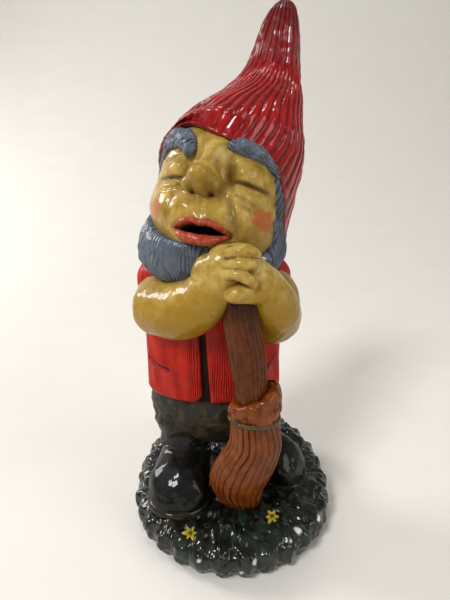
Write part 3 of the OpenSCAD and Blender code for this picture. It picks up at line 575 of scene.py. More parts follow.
def ball(centre, half, lean, rows=40, columns=56):
    """An ellipsoid with those half sizes, leaning by that many degrees about the line from front to back."""
    height = np.linspace(-0.49 * np.pi, 0.49 * np.pi, rows)[:, None]
    turn = full_turn(columns)
    x, y, z = (half[0] * np.cos(height) * np.cos(turn), half[1] * np.cos(height) * np.sin(turn),
               half[2] * np.sin(height) + 0 * turn)
    c, s = math.cos(math.radians(lean)), math.sin(math.radians(lean))
    return np.stack([centre[0] + c * x + s * z, centre[1] + y, centre[2] + c * z - s * x], -1)


def knead(piece, grain, rounds):
    """Joins a piece's skins into one, meshed at that grain in mm, and relaxes it as fingers smooth clay."""
    join = piece.modifiers.new("join", "REMESH")
    join.mode = "VOXEL"
    join.voxel_size = grain / 1000
    relax = piece.modifiers.new("relax", "SMOOTH")
    relax.factor = 0.5
    relax.iterations = rounds
    piece.data = bpy.data.meshes.new_from_object(piece.evaluated_get(bpy.context.evaluated_depsgraph_get()))
    piece.modifiers.clear()
    piece.data.polygons.foreach_set("use_smooth", np.ones(len(piece.data.polygons), bool))


def hollows(mesh, rounds):
    """How deep each point lies in a hollow, in mm: its points are averaged with their neighbours that many
    times, and the move is measured along the normal."""
    count = len(mesh.vertices)
    points, normals, edges = np.empty(count * 3), np.empty(count * 3), np.empty(len(mesh.edges) * 2, np.int64)
    mesh.vertices.foreach_get("co", points)
    mesh.vertex_normals.foreach_get("vector", normals)
    mesh.edges.foreach_get("vertices", edges)
    points, normals, (a, b) = points.reshape(-1, 3) * 1000, normals.reshape(-1, 3), edges.reshape(-1, 2).T
    number = np.bincount(a, minlength=count) + np.bincount(b, minlength=count)
    moved = points
    for _ in range(rounds):
        total = [np.bincount(a, moved[b, k], count) + np.bincount(b, moved[a, k], count) for k in range(3)]
        moved = np.stack(total, 1) / number[:, None]
    return np.sum((moved - points) * normals, 1), points, normals


finger_r = 2.7
right_elbow, left_elbow = [-39.5, -23, 141.5, 15.5, 15.5], [22, -21, 136, 15, 15]
right_arm = [limb([[-33, 0, 148, 12, 12.5], [-40, -10, 144, 15, 14.5], right_elbow], [0.3, 1, 0.2]),
             limb([right_elbow, [-27, -35, 144, 15.5, 15.2], [-15, -43, 152.5, 13.2, 12.6],
                   [-7, -47, 164, 11, 10.5], [-2, -49, 170, 9, 9]], [0.3, 1, 0.2]),
             ball((-9.6, -46.5, 166), (11, 9.4, 11), 0), ball((-5, -49, 170.5), (10, 8.5, 11), 30)]
for row in ([[-5, -48, 177.5], [1, -51.5, 179.2], [6, -51.5, 178.8], [9, -48, 177]],
            [[-5, -53, 177], [1, -56.6, 178.8], [5, -57, 178.8], [8, -55.2, 177.8], [9.6, -52, 176.4]],
            [[-5, -54, 172], [1, -58, 173.6], [5, -58.5, 173.6], [8, -57, 173], [9.8, -53.5, 172]],
            [[-6, -54.5, 168.8], [0, -58.5, 168.8], [4, -60, 167.6], [7, -59.4, 165.8], [8.6, -57, 163.8]]):
    taper = finger_r * np.linspace(1.12, 0.92, len(row))
    right_arm.append(limb(np.column_stack([row, taper, taper]), [0, 0, 1], 40, 32))
left_arm = [limb([[17, 0, 154, 11, 12], [22.5, -9, 146, 13.5, 14.5], left_elbow], [-0.3, 1, 0.2]),
            limb([left_elbow, [20.5, -34, 145, 13.5, 13.5], [15.5, -43, 156, 11.5, 11],
                  [9.5, -48, 165, 9.5, 9], [6, -49.5, 171, 7.5, 7.5]], [-0.3, 1, 0.2]),
            ball((6, -51.5, 158.6), (9, 6.4, 5.6), 20), ball((10.5, -50, 159.4), (7, 7.5, 7.5), 0)]
for rows in ([[10, -50, 162.6, 4.8, 4.8], [5, -54.5, 160.3, 4.6, 4.5], [0.5, -56.5, 159, 4.3, 4.2],
              [-2.5, -55, 158.4, 3.6, 3.6]],
             [[12, -48.6, 158.6, 4.8, 4.8], [6, -53, 157.2, 4.3, 4.0], [1, -54.6, 156.8, 3.8, 3.4],
              [-1.4, -54, 156.8, 3.2, 3.0]]):
    left_arm.append(limb(rows, [0, 0, 1], 40, 32))
# Flesh paint yellowed by its varnish: mottled ochre, with brown painted shade in the creases and a sharp
# gloss.
skin_paint = varnished_paint(
    "varnished_flesh_oil_paint", ("#927226", "#BA9E52", "#8C6A1C"),
    [("glow", "#8E6A06"), ("shade", "#55370E"), ("blush", "#A84E26"), ("lash", "#38260E"),
     ("mouth", "#060404")],
    roughness=0.38, varnish=0.36, blot_mm=6, grit_mm=1.3, grit_depth=0.4)
for side, skins in (("right", right_arm), ("left", left_arm)):
    piece = cast(side + "_arm_and_hand", skins)
    knead(piece, 0.7, 6)
    depth, points, normals = hollows(piece.data, 14)
    points = points + normals * (0.4 * lumps(points, 7, 4) + 0.16 * lumps(points, 2.5, 5))[:, None]
    piece.data.vertices.foreach_set("co", (points / 1000).ravel())
    # Painted shade: brown in the creases and between the fingers, and ochre that darkens the arms lower down.
    washes = {"shade": 0.9 * ease((depth - 0.03) / 0.27),
              "glow": 0.9 * ease((168 - points[:, 2]) / 24 + 0.4 * lumps(points, 12, 7))}
    for key, value in washes.items():
        piece.data.attributes.new(key, "FLOAT", "POINT").data.foreach_set("value", value.astype(np.float32))
    seat(piece, skin_paint, "skin_paint", side + "_arm", side + "_hand")


# Broom handle: a rough-hewn stick that stands in the bundle of twigs and ends under the hands. It is part
# of the casting, and its long grain was cut into the clay.
broom_x, broom_y = 11.0, -43.0
grained = limb([[2.5, -48, 156, 6.6, 6.6], [2.5, -48, 151, 8.5, 8.4], [6, -46.5, 128, 8.8, 9],
                [9.3, -44.5, 104, 8.1, 8.6], [broom_x, broom_y, 81, 8.1, 8.1]], [0, 1, 0], 190, 150)
turn = full_turn(150)
hewn = (0.4 * np.cos(7 * turn + 1.6 * lumps(grained * [0.3, 0.3, 1], 30, 2))
        + 0.5 * lumps(grained * [1, 1, 0.4], 6, 3) + 0.22 * lumps(grained, 2, 4))
fibre = (combed(22 * turn + 4 * lumps(grained * [1, 1, 0.25], 6, 1), 4)
         * ease(0.3 + 1.3 * lumps(grained * [1, 1, 0.3], 5, 7)))
grained = relief(grained, hewn - 0.55 * fibre)
soot = ease((grained[..., 2] - 138) / 16) * 0.75
# Brown paint with little varnish: half matt, dark in the grain, and darker towards the top, under the hands.
handle_paint = varnished_paint("satin_brown_oil_paint", ("#4A2004", "#602E08", "#3A1803"),
                               [("groove", "#1E0C02"), ("soot", "#1E0B02")],
                               roughness=0.5, varnish=0.14, blot_mm=5, grit_depth=0.35)
piece = cast("grained_handle", [grained], groove=[0.45 * fibre], soot=[soot])
seat(piece, handle_paint, "handle_paint", "broom_handle")


# Broom twigs: a bundle bound round the handle, cut ragged above the binding, and swept to one side below
# it. They are part of the casting, and the grooves between them were drawn into the clay. The collar stands
# higher on the figure's left.
turn = full_turn(260)
rings = smooth_rows([[88, 13, 11.5, 0], [92, 13.8, 12.8, 0.3], [95, 13.9, 13.3, 0.75], [99, 13.4, 13, 1],
                     [101.2, 11.6, 11, 1], [100.4, 8.5, 8.0, 1]], 70)
z, half_w, half_d, tilt = (rings[:, k:k + 1] for k in range(4))
collar = np.stack([broom_x + half_w * np.cos(turn), broom_y + half_d * np.sin(turn),
                   z + 5.5 * tilt * np.cos(turn)], -1)
twig = combed(15 * turn + 5.0 * lumps(collar * [1, 1, 0.4], 8, 4), 4) * ease(0.4 + lumps(collar, 7, 9))
collar = relief(collar, 1.0 * lumps(collar, 6, 6) + 0.65 * lumps(collar, 2.6, 7) - 0.45 * twig)
collar[..., 2] += ease((z - 96) / 5) * 0.8 * lumps(collar, 4, 8)
dirt = np.clip(0.5 * twig + 0.35 * ease(0.2 - lumps(collar, 2.6, 7)), 0, 0.9)
swept = stack([[20, 6, -32.5, 9, 4.5], [28, 4.2, -34.5, 13, 8.6], [37, 3, -36, 15.4, 11.6],
               [48, 4.8, -38, 17.5, 13], [60, 8.5, -40, 16.8, 13], [71, 12, -42, 14.35, 12.2],
               [85.4, broom_x, broom_y, 12.8, 11.3]], 170, 320)
turn = full_turn(320)
run = 24 * turn + 2.6 * lumps(swept * [1, 1, 0.2], 11, 5) + 0.8 * lumps(swept * [1, 1, 0.4], 5, 2)
deep = combed(run, 5) * np.clip(0.7 + 0.6 * lumps(swept * [1, 1, 0.15], 6, 6), 0.15, 1)
fine = combed(71 * turn + 2 * lumps(swept * [1, 1, 0.25], 5, 9), 2)
swept = relief(swept, 0.5 * lumps(swept * [1, 1, 0.4], 6, 3) - 1.25 * deep - 0.25 * fine)
# Orange-brown paint, varnished: the backs of the twigs shine, and the grooves between them are darker.
twig_paint = varnished_paint("varnished_orange_brown_oil_paint", ("#662C04", "#84420A", "#522002"),
                             [("groove", "#1E0B02")], roughness=0.38, varnish=0.28, blot_mm=5, grit_depth=0.3)
seat(cast("collar_of_twigs", [collar], groove=[dirt]), twig_paint, "brush_paint", "broom_collar")
piece = cast("swept_brush", [swept], groove=[np.clip(0.9 * deep + 0.25 * fine, 0, 1)])
seat(piece, twig_paint, "brush_paint", "broom_brush")


# Binding: a thick cord tied round the twigs, between the collar and the brush. On the figure it is one ring
# of the casting, ridged a little like laid cord.
cord_r, binding_r, binding_z, oval = 1.4, 12.9, 87, 0.89
turn = full_turn(260)[:, None]
section = full_turn(28)
thick = 1 + 0.08 * np.cos(3 * section + 40 * turn)
out = binding_r + cord_r * thick * np.cos(section)
ring = np.stack([broom_x + out * np.cos(turn), broom_y + oval * out * np.sin(turn),
                 binding_z + cord_r * thick * np.sin(section) + 0.4 * np.sin(2 * turn)], -1)
ring = ring + 0.25 * lumps(ring, 3, 2)[..., None] * unit(ring - [broom_x, broom_y, binding_z])
# Brown-olive paint, varnished: a dark band with a small gloss, which parts the collar from the brush.
cord_paint = varnished_paint("varnished_brown_olive_oil_paint", ("#3A2A0C", "#54401A", "#2C1E08"),
                             roughness=0.4, varnish=0.5, blot_mm=4)
seat(cast("binding_ring", [ring], ends="loop"), cord_paint, "binding_paint", "broom_binding")


# Head: the face, with swollen closed eyes, a bulbous nose, full cheeks and an open mouth. It is modelled on
# an egg that is tipped back, turned and leaning, and painted as the arms are, with rosy cheek spots.
head_at = np.array([-5.0, -3.0, 206.0])
head_tip, head_lean, head_turn = -18, 7, -12
head_w, head_d, crown_h, chin_h = 34.5, 34.0, 40.0, 51.0


def head_place(points):
    """Points of the head's own frame set in the figure's: tipped about x, then leaned about y, then turned
    about z, and moved to the head's centre."""
    tip, lean, turned = (math.radians(v) for v in (head_tip, head_lean, head_turn))
    about_x = np.array([[1, 0, 0], [0, math.cos(tip), -math.sin(tip)], [0, math.sin(tip), math.cos(tip)]])
    about_y = np.array([[math.cos(lean), 0, math.sin(lean)], [0, 1, 0], [-math.sin(lean), 0, math.cos(lean)]])
    about_z = np.array([[math.cos(turned), -math.sin(turned), 0], [math.sin(turned), math.cos(turned), 0],
                        [0, 0, 1]])
    return points @ (about_z @ about_y @ about_x).T + head_at


def egg(z):
    """The egg's share of its width at height z: (1 - (z / end) ** 2.5) ** 0.45, to its crown or its chin."""
    return np.maximum(0, 1 - np.abs(z / np.where(z > 0, crown_h, -chin_h)) ** 2.5) ** 0.45


def egg_skin(z, turn, grow):
    """Points of the egg at height z and turned from its front, out by grow. By the square of the height,
    the crown bows back and the chin forward."""
    bow = np.where(z > 0, 6 * (z / crown_h) ** 2, -10 * (z / chin_h) ** 2)
    return np.stack([(head_w * egg(z) + grow) * np.sin(turn), bow - (head_d * egg(z) + grow) * np.cos(turn),
                     z + 0 * turn], -1)


def swell(x, z, bumps):
    """Bumps [x, z, width, height, rise]: the sum of rise * exp(-(dx / width) ** 2 - (dz / height) ** 2)."""
    return sum(rise * np.exp(-((x - cx) / w) ** 2 - ((z - cz) / h) ** 2) for cx, cz, w, h, rise in bumps)


def furrows(x, z, lines):
    """Depth of creases: each is a smooth line of rows [x, z, half width, depth], and a point takes the
    depth of the nearest place on the line times exp(-(distance / half width) ** 2)."""
    total = 0 * x
    for line in lines:
        path = smooth_rows(line, 36)
        gap = np.hypot(x[..., None] - path[:, 0], z[..., None] - path[:, 1])
        near = gap.argmin(-1)
        total = total + path[near, 3] * np.exp(-(gap.min(-1) / path[near, 2]) ** 2)
    return total


def dome(x, z, cx, cz, half_w, half_h, base, rise):
    """Forward height of a half ellipsoid on the level base, and far behind it outside the ellipse."""
    inside = 1 - ((x - cx) / half_w) ** 2 - ((z - cz) / half_h) ** 2
    return np.where(inside > 0, base + rise * np.sqrt(np.maximum(inside, 0)), -99)


# The columns of the grid lie closer together in front.
share = np.linspace(-np.pi, np.pi, 340, endpoint=False)
turn = share - math.radians(34) * np.sin(share)
z = np.linspace(-50.6, 39.6, 260)[:, None] + 0 * turn
face = egg_skin(z, turn, 0)
x = face[..., 0]
front = ease((np.cos(turn) - 0.05) / 0.45)
# Cheeks, lids, bags under the eyes and brow bones are alike on both sides. The muzzle, the bridge with
# a hollow on each side of it, and the chin have rows of their own.
pairs = [[19, -23, 10.5, 9.5, 4.8], [18.5, -2.5, 9, 6, 4.2], [18.5, -13, 8.5, 3.6, 2.6], [17, 11, 11, 5, 2.2]]
lift = swell(x, z, [[side * row[0], *row[1:]] for side in (-1, 1) for row in pairs]
             + [[0, -27, 12.5, 9.5, 5.2], [-0.8, 4, 7.5, 9, 4.0], [-11.4, -4, 3.4, 6, -2.0],
                [9.4, -4, 3.8, 7, -2.6], [0, -46, 12, 5, -1]])
slits = [
    [[-30, -6.8, 0.7, 0], [-26, -7.7, 0.8, 1.4], [-21, -8.4, 0.9, 2.2], [-15, -8.2, 0.9, 1.8],
     [-11.8, -9, 0.7, 0.4]],
    [[10, -6.2, 0.8, 0.5], [13, -6.6, 0.9, 1.9], [19, -7.3, 1.0, 2.4], [25, -7.6, 0.9, 1.8],
     [29, -7.8, 0.7, 0]]]
creases = [
    [[8, 6, 1.8, 0], [9, 1, 2.1, 1.2], [9.6, -5, 2.1, 1.8], [10.8, -11, 1.8, 0.7]],
    [[-10.5, 6, 2.0, 0], [-11, 0, 2.2, 0.7], [-11.6, -5, 2.0, 1.0], [-12.4, -10, 1.6, 0.4]],
    [[11, 3.5, 1.2, 0.3], [17, 4.8, 1.4, 1.0], [24, 2.5, 1.4, 0.9], [29.5, -2, 1.2, 0.2]],
    [[-12, 3.5, 1.2, 0.3], [-18, 4.2, 1.4, 0.9], [-25, 1.5, 1.4, 0.7], [-29, -3, 1.2, 0.1]],
    [[11, -11, 0.9, 0.4], [16, -14.3, 1.0, 1.0], [22, -15.4, 1.0, 1.0], [28, -14, 0.9, 0]],
    [[-11.5, -11, 0.9, 0.3], [-16, -13.6, 1.0, 0.9], [-22, -14, 1.0, 0.8], [-27, -12.4, 0.9, 0]],
    [[12.5, -15.5, 0.9, 0], [17, -18, 0.9, 0.6], [23, -18.6, 0.9, 0.5], [27, -17.5, 0.9, 0]],
    [[7, -12.5, 2.0, 0.4], [10.4, -16, 2.0, 1.4], [13, -21.5, 2.1, 2.2], [14.8, -28, 2.2, 1.9],
     [16, -36, 2.0, 0.3]],
    [[-13.4, -13, 1.6, 0.4], [-15.4, -18, 2.0, 1.1], [-16.8, -24, 2.2, 1.2], [-17, -31, 1.6, 0.4]],
    [[-1.5, -19, 1.7, 0.2], [-0.8, -23, 1.8, 0.5], [-0.2, -25.5, 1.6, 0.4]],
    [[28.5, -8, 0.7, 0.4], [31, -7, 0.7, 0.5], [33, -5.5, 0.7, 0]],
    [[28.5, -11.5, 0.7, 0.4], [31.5, -12.5, 0.7, 0.5], [33.5, -14, 0.7, 0]],
]
slit, crease = furrows(x, z, slits), furrows(x, z, creases)
forward = -face[..., 1] + front * (lift - slit - crease)
# The bridge falls from the brow to the bulb of the nose, with a wing on each side and a nostril under it.
# They are joined softly: the logarithm of the sum of the exponentials of the heights.
ridge = np.interp(z, [-14, -9, -3, 3.5, 10, 15, 20], [20, 42, 41.4, 39.6, 37, 31, 20])
half_w = np.interp(z, [-9, -3, 3.5, 10], [6.8, 6.8, 6.8, 7.4])
aside = 1 - ((x + np.interp(z, [-9, 10], [2.2, 0.6])) / half_w) ** 2
bridge = np.where(aside > 0, ridge - 14 * (1 - np.sqrt(np.maximum(aside, 0))), -99)
heights = [forward, bridge, dome(x, z, -2.5, -8.4, 8.4, 7.7, 30, 19.5),
           dome(x, z, -9.2, -10.8, 4.4, 4.4, 29, 11.6), dome(x, z, 4, -11, 4.4, 4.4, 29, 11.8)]
soft = 0.9
forward = np.where(front > 0.9, soft * np.log(sum(np.exp((h - 40) / soft) for h in heights)) + 40, forward)
pits = swell(x, z, [[-6.8, -14.6, 1.6, 1.0, 0.6], [1.8, -14.8, 1.6, 1.0, 0.6]])
gape = ease(1.7 - np.hypot(x / 12, (z + 32.3) / 3.2) * 1.3)
uneven = 0.36 * lumps(face, 5, 3) + 0.24 * lumps(face, 2.4, 4)
forward = forward - front * (3.2 * pits + 12 * gape) + front * uneven
face[..., 1] = -forward
# The cheeks stand out at the sides, the figure's left one lower, as a jowl.
full = (0.12 * np.exp(-((z + 21) / 12) ** 2) * ease(-x / 26)
        + 0.1 * np.exp(-((z + 34) / 12) ** 2) * ease(x / 24))
face[..., 0] *= 1 + full * ease((np.cos(turn) + 0.35) / 0.5)
# The paint is warmer on nose, jowls and muzzle. Brown painted shade lies in the creases and round the wings
# of the nose, and a painted shadow lies below the hat's edge.
nose = ease(1.4 - 1.2 * np.hypot((x + 2.4) / 10, (z + 10) / 6)) * ease((z + 16) / 4)
jowl = swell(x, z, [[25, -32, 8, 7, 0.7], [-19, -33, 7, 6, 0.5], [-4, -22, 9, 4.5, 0.5]])
# Painted shade under the nose, round its wings, on its right side and beside its bridge.
under = swell(x, z, [[-7.6, -12.6, 3.2, 2.4, 0.5], [3.4, -13, 3.2, 2.4, 0.5], [-2.4, -16.5, 7, 2.0, 0.4],
                     [7.2, -10, 1.8, 4.5, 0.4], [-11.4, -4, 3.5, 6, 0.2], [9, -4, 3.5, 7, 0.3]])
shade = np.clip(0.3 * crease + 0.15 * slit + 0.9 * pits + under + 0.3 * ease((z - 13) / 5), 0, 0.85) * front
spots = swell(x, z, [[-26, -24.2, 4.0, 4.8, 1.5], [27, -20.9, 4.6, 5.6, 1.5]])
spots = 0.75 * ease((spots * (1 + 0.6 * lumps(face, 2.2, 8)) - 0.35) / 0.5) * front
head = cast("face", [head_place(face)], glow=[np.clip(0.7 * nose + jowl, 0, 0.85) * front], shade=[shade],
            blush=[spots], lash=[np.clip(0.42 * slit, 0, 0.9) * front], mouth=[ease(gape * 1.4) * front])
seat(head, skin_paint, "skin_paint", "head", "nose")


# Lips: two full lips round the open mouth, the upper one bowed. They were rolled from clay and pressed on the
# face, and are part of the casting.
def mirrored(rows):
    """A half run of rows and its mirror image, joined at the middle row."""
    rows = np.array(rows, float)
    return np.concatenate([rows * [-1, 1, 1, 1, 1], rows[-2::-1]])


lips = {"upper": [[13, -32, -31.6, 1.2, 0.8], [8.6, -36.6, -29.6, 2.4, 1.4], [4, -39.2, -28.5, 2.7, 1.6],
                  [0, -39.6, -29.0, 2.7, 1.5]],
        "lower": [[12.6, -32, -33, 1.2, 0.9], [7.6, -36.2, -35.7, 2.7, 2.1], [0, -38.2, -36.8, 3.1, 2.6]]}
# Red flesh paint, varnished: it looks moist, and is darker in the small folds.
lip_paint = varnished_paint("varnished_red_flesh_oil_paint", ("#93321F", "#AE4A36", "#B25C42"),
                            [("groove", "#5A1A12")], roughness=0.32, varnish=0.35, blot_mm=3, grit_depth=0.3)
for part, rows in lips.items():
    lip = limb(mirrored(rows), [0, 0, 1], 90, 40)
    fold = (0.5 + 0.5 * np.sin(lip[..., 0] * 2.2 + 5 * lumps(lip, 4, 2))) ** 2
    lip = relief(lip, 0.25 * lumps(lip, 3, 3) - 0.12 * fold)
    piece = cast(part + "_lip_roll", [head_place(lip)], groove=[0.35 * fold])
    seat(piece, lip_paint, "lip_paint", part + "_lip")


# Eyebrows: thick rolls of clay pressed on under the hat's edge, and combed with slanting strokes. The right
# one is bent like a comma, and the left one falls to the hair.
brows = {"right": [[-29, -18.5, 4.6, 2, 1.8], [-25.6, -23.4, 9.6, 3.4, 3.8], [-19.8, -29.4, 11.6, 3.9, 4.6],
                   [-14.2, -33, 9.2, 3.9, 4.5], [-11.4, -35, 4.8, 3.2, 3.4]],
         "left": [[8, -34.4, 9.3, 2.6, 2.8], [13, -32.8, 9.6, 3.6, 3.9], [18.5, -30, 9, 3.5, 3.5],
                  [24, -26, 7, 2.8, 2.6], [29.5, -20.5, 2, 1.8, 1.4]]}
# Slate paint, varnished: blue-grey, dark in the strokes, with a pale painted highlight on the locks.
hair_paint = varnished_paint("varnished_slate_oil_paint", ("#3A404B", "#525A68", "#2E333D"),
                             [("groove", "#14161A"), ("streak", "#717A88")],
                             roughness=0.42, varnish=0.28, blot_mm=4, grit_depth=0.35)
for side, rows in brows.items():
    brow = limb(rows, [0, 0, 1], 130, 90)
    slant = 1.5 if side == "left" else -1.5
    stroke = combed(brow[..., 2] * 3.0 + brow[..., 0] * slant + 4.5 * lumps(brow, 5, 1), 3)
    stroke = stroke * np.clip(0.4 + 0.9 * lumps(brow, 3.5, 8), 0, 1)
    brow = relief(brow, 0.6 * lumps(brow, 4, 2) + 0.4 * lumps(brow, 1.8, 6) - 0.55 * stroke)
    # The pale on the locks is a painted highlight.
    piece = cast(side + "_brow_roll", [head_place(brow)], groove=[0.6 * stroke], streak=[0.3 * (1 - stroke)])
    seat(piece, hair_paint, "hair_paint", side + "_eyebrow")


# Beard and hair: a full beard round the jaw, and hair that frames the face and covers the nape under the hat.
# Modelled as one mass round the opening of the face, and combed with long strokes before casting.
def head_frame(points):
    """The figure's points in the head's own frame: head_place turned round."""
    axes = head_place(np.eye(3)) - head_at
    return (points - head_at) @ axes.T


opening_z, opening_w, opening_up, opening_down = -18, 34, 41.7, 20.5
jowl_x, jowl_z, jowl_r = 18.5, -12, 16.4


def open_face(points, across, ragged):
    """Sinks what lies over the face. In the head's frame the face's opening is half an ellipse, over a
    fuller half oval of power 2.5, drawn in on the left and with the circle of a bare jowl added to it.
    Inside it the mass is drawn in behind the face, over a short rounded slope. Beside it the mass lies
    close to the egg: the higher it is, the less it may stand out."""
    x, z = across + 0.8 + 0.05 * np.maximum(across, 0), points[..., 2] - opening_z
    power, high = np.where(z > 0, 2, 2.5), np.where(z > 0, opening_up, opening_down)
    oval = ((np.abs(x / opening_w) ** power + np.abs(z / high) ** power) ** (1 / power) - 1) * 28
    edge = np.minimum(oval, np.hypot(across - jowl_x, z - jowl_z) - jowl_r) + ragged
    sunk = points.copy()
    bow = egg_skin(points[..., 2], 0.5 * np.pi, 0)[..., 1]
    round_egg = 34.2 * np.maximum(egg(points[..., 2]), 0.05)
    far = np.maximum(np.hypot(sunk[..., 0], sunk[..., 1] - bow) / round_egg, 1e-6)
    most = 1 + np.interp(points[..., 2], [-32, -25, -18, -12, 0], [14, 9, 5.2, 3.2, 2.6]) / head_d
    close = np.minimum(1, most / far)
    close = close + (1 - close) * ease((-26 - points[..., 2]) / 8)
    inside = ease(-edge / 2.4 + 0.25) * (points[..., 1] < 0)
    draw = close * (1 - inside) + inside * np.minimum(1, (0.92 - 0.5 * ease(-edge / 10)) / far)
    sunk[..., 0] *= draw
    sunk[..., 1] = bow + (sunk[..., 1] - bow) * draw
    return sunk


beard = stack([[155, -17, -23.5, 10, 8], [157, -14, -23, 23, 13], [160, -11.5, -21, 32, 19],
               [168, -12, -17, 38.2, 27], [178, -11.5, -14, 38.7, 31], [188, -9.4, -11, 36.6, 29],
               [194, -6.5, -8, 33.5, 25], [198, -5, -6, 24, 18]], 190, 420)
turn = full_turn(420)
comb = 92 * turn + 13.0 * lumps(beard * [1, 1, 0.6], 13, 2) + 4.0 * lumps(beard, 5, 5) - 0.12 * beard[..., 2]
stroke = combed(comb, 2.5) * np.clip(0.7 + 0.8 * lumps(beard * [1, 1, 0.5], 5, 3), 0.1, 1)
beard = relief(beard, 1.2 * lumps(beard * [1, 1, 0.6], 11, 8) + 0.4 * lumps(beard, 3, 4) - 0.75 * stroke)
beard = head_frame(beard)
beard = open_face(beard, beard[..., 0], 0.5 * stroke - 0.3)
# The pale on the locks is a painted highlight.
piece = cast("combed_beard", [head_place(beard)], groove=[np.clip(0.85 * stroke, 0, 1)],
             streak=[0.3 * (1 - stroke)])
seat(piece, hair_paint, "hair_paint", "beard")

# The hair is thinner beside the figure's right cheek, and under the hat.
turn = np.linspace(-np.pi, np.pi, 420, endpoint=False)
z = np.linspace(-50, 34, 110)[:, None]
thin = 1.5 * ease(-np.sin(turn) / 0.5) * ease((z + 28) / 12) * ease((np.cos(turn) + 0.1) / 0.3)
hair = egg_skin(z, turn, 2.6 - np.maximum(thin, 2 * ease((z - 14) / 8)))
across = head_w * egg(hair[..., 2]) * np.sin(turn)
stroke = combed(90 * turn + 5.0 * lumps(hair * [1, 1, 0.5], 12, 3), 2)
hair = open_face(relief(hair, 0.5 * lumps(hair, 8, 2) - 0.4 * stroke), across, 0.8 * stroke - 0.4)
hair[..., 1] = np.maximum(hair[..., 1], -22)
# The pale on the locks is a painted highlight.
piece = cast("combed_hair", [head_place(hair)], groove=[0.85 * stroke], streak=[0.3 * (1 - stroke)])
seat(piece, hair_paint, "hair_paint", "back_hair")


# Hat: a knitted pointed cap pulled down to the nape, its tip drawn over to the figure's left. The ribs of
# the knit are modelled in the plaster, and every other rib dies out towards the tip.
def brim_edge(turn, out):
    """The edge of the hat round the head, out by that many mm: it hugs the egg at heights given every 30
    degrees, low round the nape, high over the figure's right brow, and falling to its left ear. Where it is
    lower than z = -12 it hangs straight down."""
    heights = np.array([-27, -27, -22.5, -18, -13, -4.5, 4.5, 15.7, 21, 15.4, 10.2, 1.2])
    run = smooth_rows(np.concatenate([heights, heights, heights])[:, None], 35 * 40 + 1)[:, 0]
    z = np.interp(turn, np.arange(-12 * 40, 23 * 40 + 1) * np.pi / 240, run)
    wide = egg(np.maximum(z, -12))
    x, y = (head_w * wide + out) * np.cos(turn), (head_d * wide + out) * np.sin(turn)
    return head_place(np.stack([x, y, z], -1))


# Each ring is an ellipse, [x, y, z, half width, half depth, slant back, slant to the left]. The lower ones
# are drawn in over the figure's right temple, and the lowest is lifted a little over its right brow.
hat_rows = np.array([
    [-2.5, 4, 214.3, 40, 43.5, 34, 10], [0.7, 9, 225.3, 38.2, 40.8, 26, 6],
    [5.2, 12.5, 237.5, 32.7, 35, 17, 3], [11.5, 15, 248, 26.5, 28, 9, 0],
    [17, 16.5, 256.5, 20, 21, 4, 0], [20.8, 17.5, 265, 15.5, 16, 1, 0],
    [22.8, 18.3, 274, 13, 13.5, 0, 0], [24.3, 19, 284, 10.8, 11, 0, 0], [25.8, 19.5, 292, 8.3, 8.3, 0, 0],
    [26.8, 20, 297, 5.2, 5.2, 0, 0], [27, 20, 300, 1.2, 1.2, 0, 0]])
ribs = 48
edge_out = 3
turn = full_turn(540)
sx, sy, sz, half_w, half_d, back, left = (hat_rows[:, k:k + 1] for k in range(7))
back, left = np.radians(back), np.radians(left)
temple = np.exp(-((turn - math.radians(213)) / math.radians(34)) ** 2)
drawn = np.array([[0.1], [0.1], [0.04]] + [[0]] * 8) * temple
x, y = half_w * (1 - drawn) * np.cos(turn), half_d * (1 - drawn) * np.sin(turn)
rings = np.stack([sx + x * np.cos(left), sy + y * np.cos(back), sz - y * np.sin(back) - x * np.sin(left)], -1)
rings[0, :, 2] += 1.4 * np.exp(-((turn - math.radians(238)) / math.radians(32)) ** 2)
knit = smooth_rows(np.concatenate([brim_edge(turn, edge_out)[None], rings]), 170)
rise = np.linspace(0, 1, 170)[:, None]
sway = 0.5 * lumps(knit * [1, 1, 0.5], 14, 1) + 0.3 * lumps(knit, 6, 2)
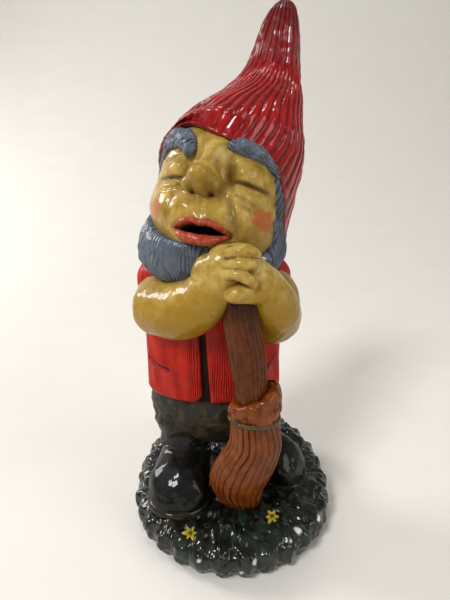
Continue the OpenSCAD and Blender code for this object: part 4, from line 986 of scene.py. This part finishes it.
fade = ease((rise - 0.43) / 0.14)
rib = (1 - fade) * np.cos(ribs * turn + sway) + fade * np.cos(ribs // 2 * turn + sway)
groove = (0.5 - 0.5 * rib) ** 2.5
quiet = 1 - 0.6 * ease(np.cos(turn - math.radians(212))) * ease((0.2 - rise) / 0.16)
deep = np.interp(rise, [0, 0.06, 0.14, 0.5, 0.85, 1], [0.4, 0.7, 1.0, 0.95, 0.6, 0.1]) * quiet
knit = relief(knit, 0.35 * deep - deep * groove + 0.35 * lumps(knit, 7, 6) + 0.22 * lumps(knit, 2.6, 8))
dirt = np.clip(0.65 * groove * quiet + 0.7 * ease((rise - 0.5) / 0.4), 0, 1)
# Deep red paint under thick varnish: sharp highlights along the ribs, darker between them and at the tip.
hat_paint = varnished_paint("varnished_deep_red_oil_paint", ("#860305", "#A20608", "#6A0203"),
                            [("groove", "#400203")], roughness=0.34, varnish=0.62, blot_mm=9, grit_mm=1.4,
                            grit_depth=0.4)
seat(cast("knitted_hat", [knit], groove=[dirt]), hat_paint, "hat_paint", "hat")


# Hat edge: the knit's rolled edge, a low band under the hat that lies close to the head. It is part of the
# casting, beaded by the ends of the ribs, and painted as the hat is.
roll_out, roll_w, roll_h, roll_drop = 1.4, 2.1, 1.5, 1.0
section = full_turn(28)
middle = brim_edge(turn, roll_out)
out = unit(brim_edge(turn, edge_out) - middle)
up = head_place(np.array([0, 0, 1.0])) - head_at
bead = 1 + 0.05 * np.cos(ribs * turn)[:, None] + 0.12 * lumps(middle, 5, 3)[:, None]
roll = (middle[:, None] + out[:, None] * (roll_w * bead * np.cos(section))[..., None]
        + up * (roll_h * bead * np.sin(section) - roll_drop)[..., None])
between = (0.5 - 0.5 * np.cos(ribs * turn[:, None])) ** 2.5
# Painted shade on the underside of the roll, and darker paint between the beads.
dirt = np.clip(0.1 + 0.5 * ease(-np.sin(section)) + 0.25 * between, 0, 0.9)
seat(cast("rolled_edge", [roll], ends="loop", groove=[dirt]), hat_paint, "hat_paint", "hat_brim")
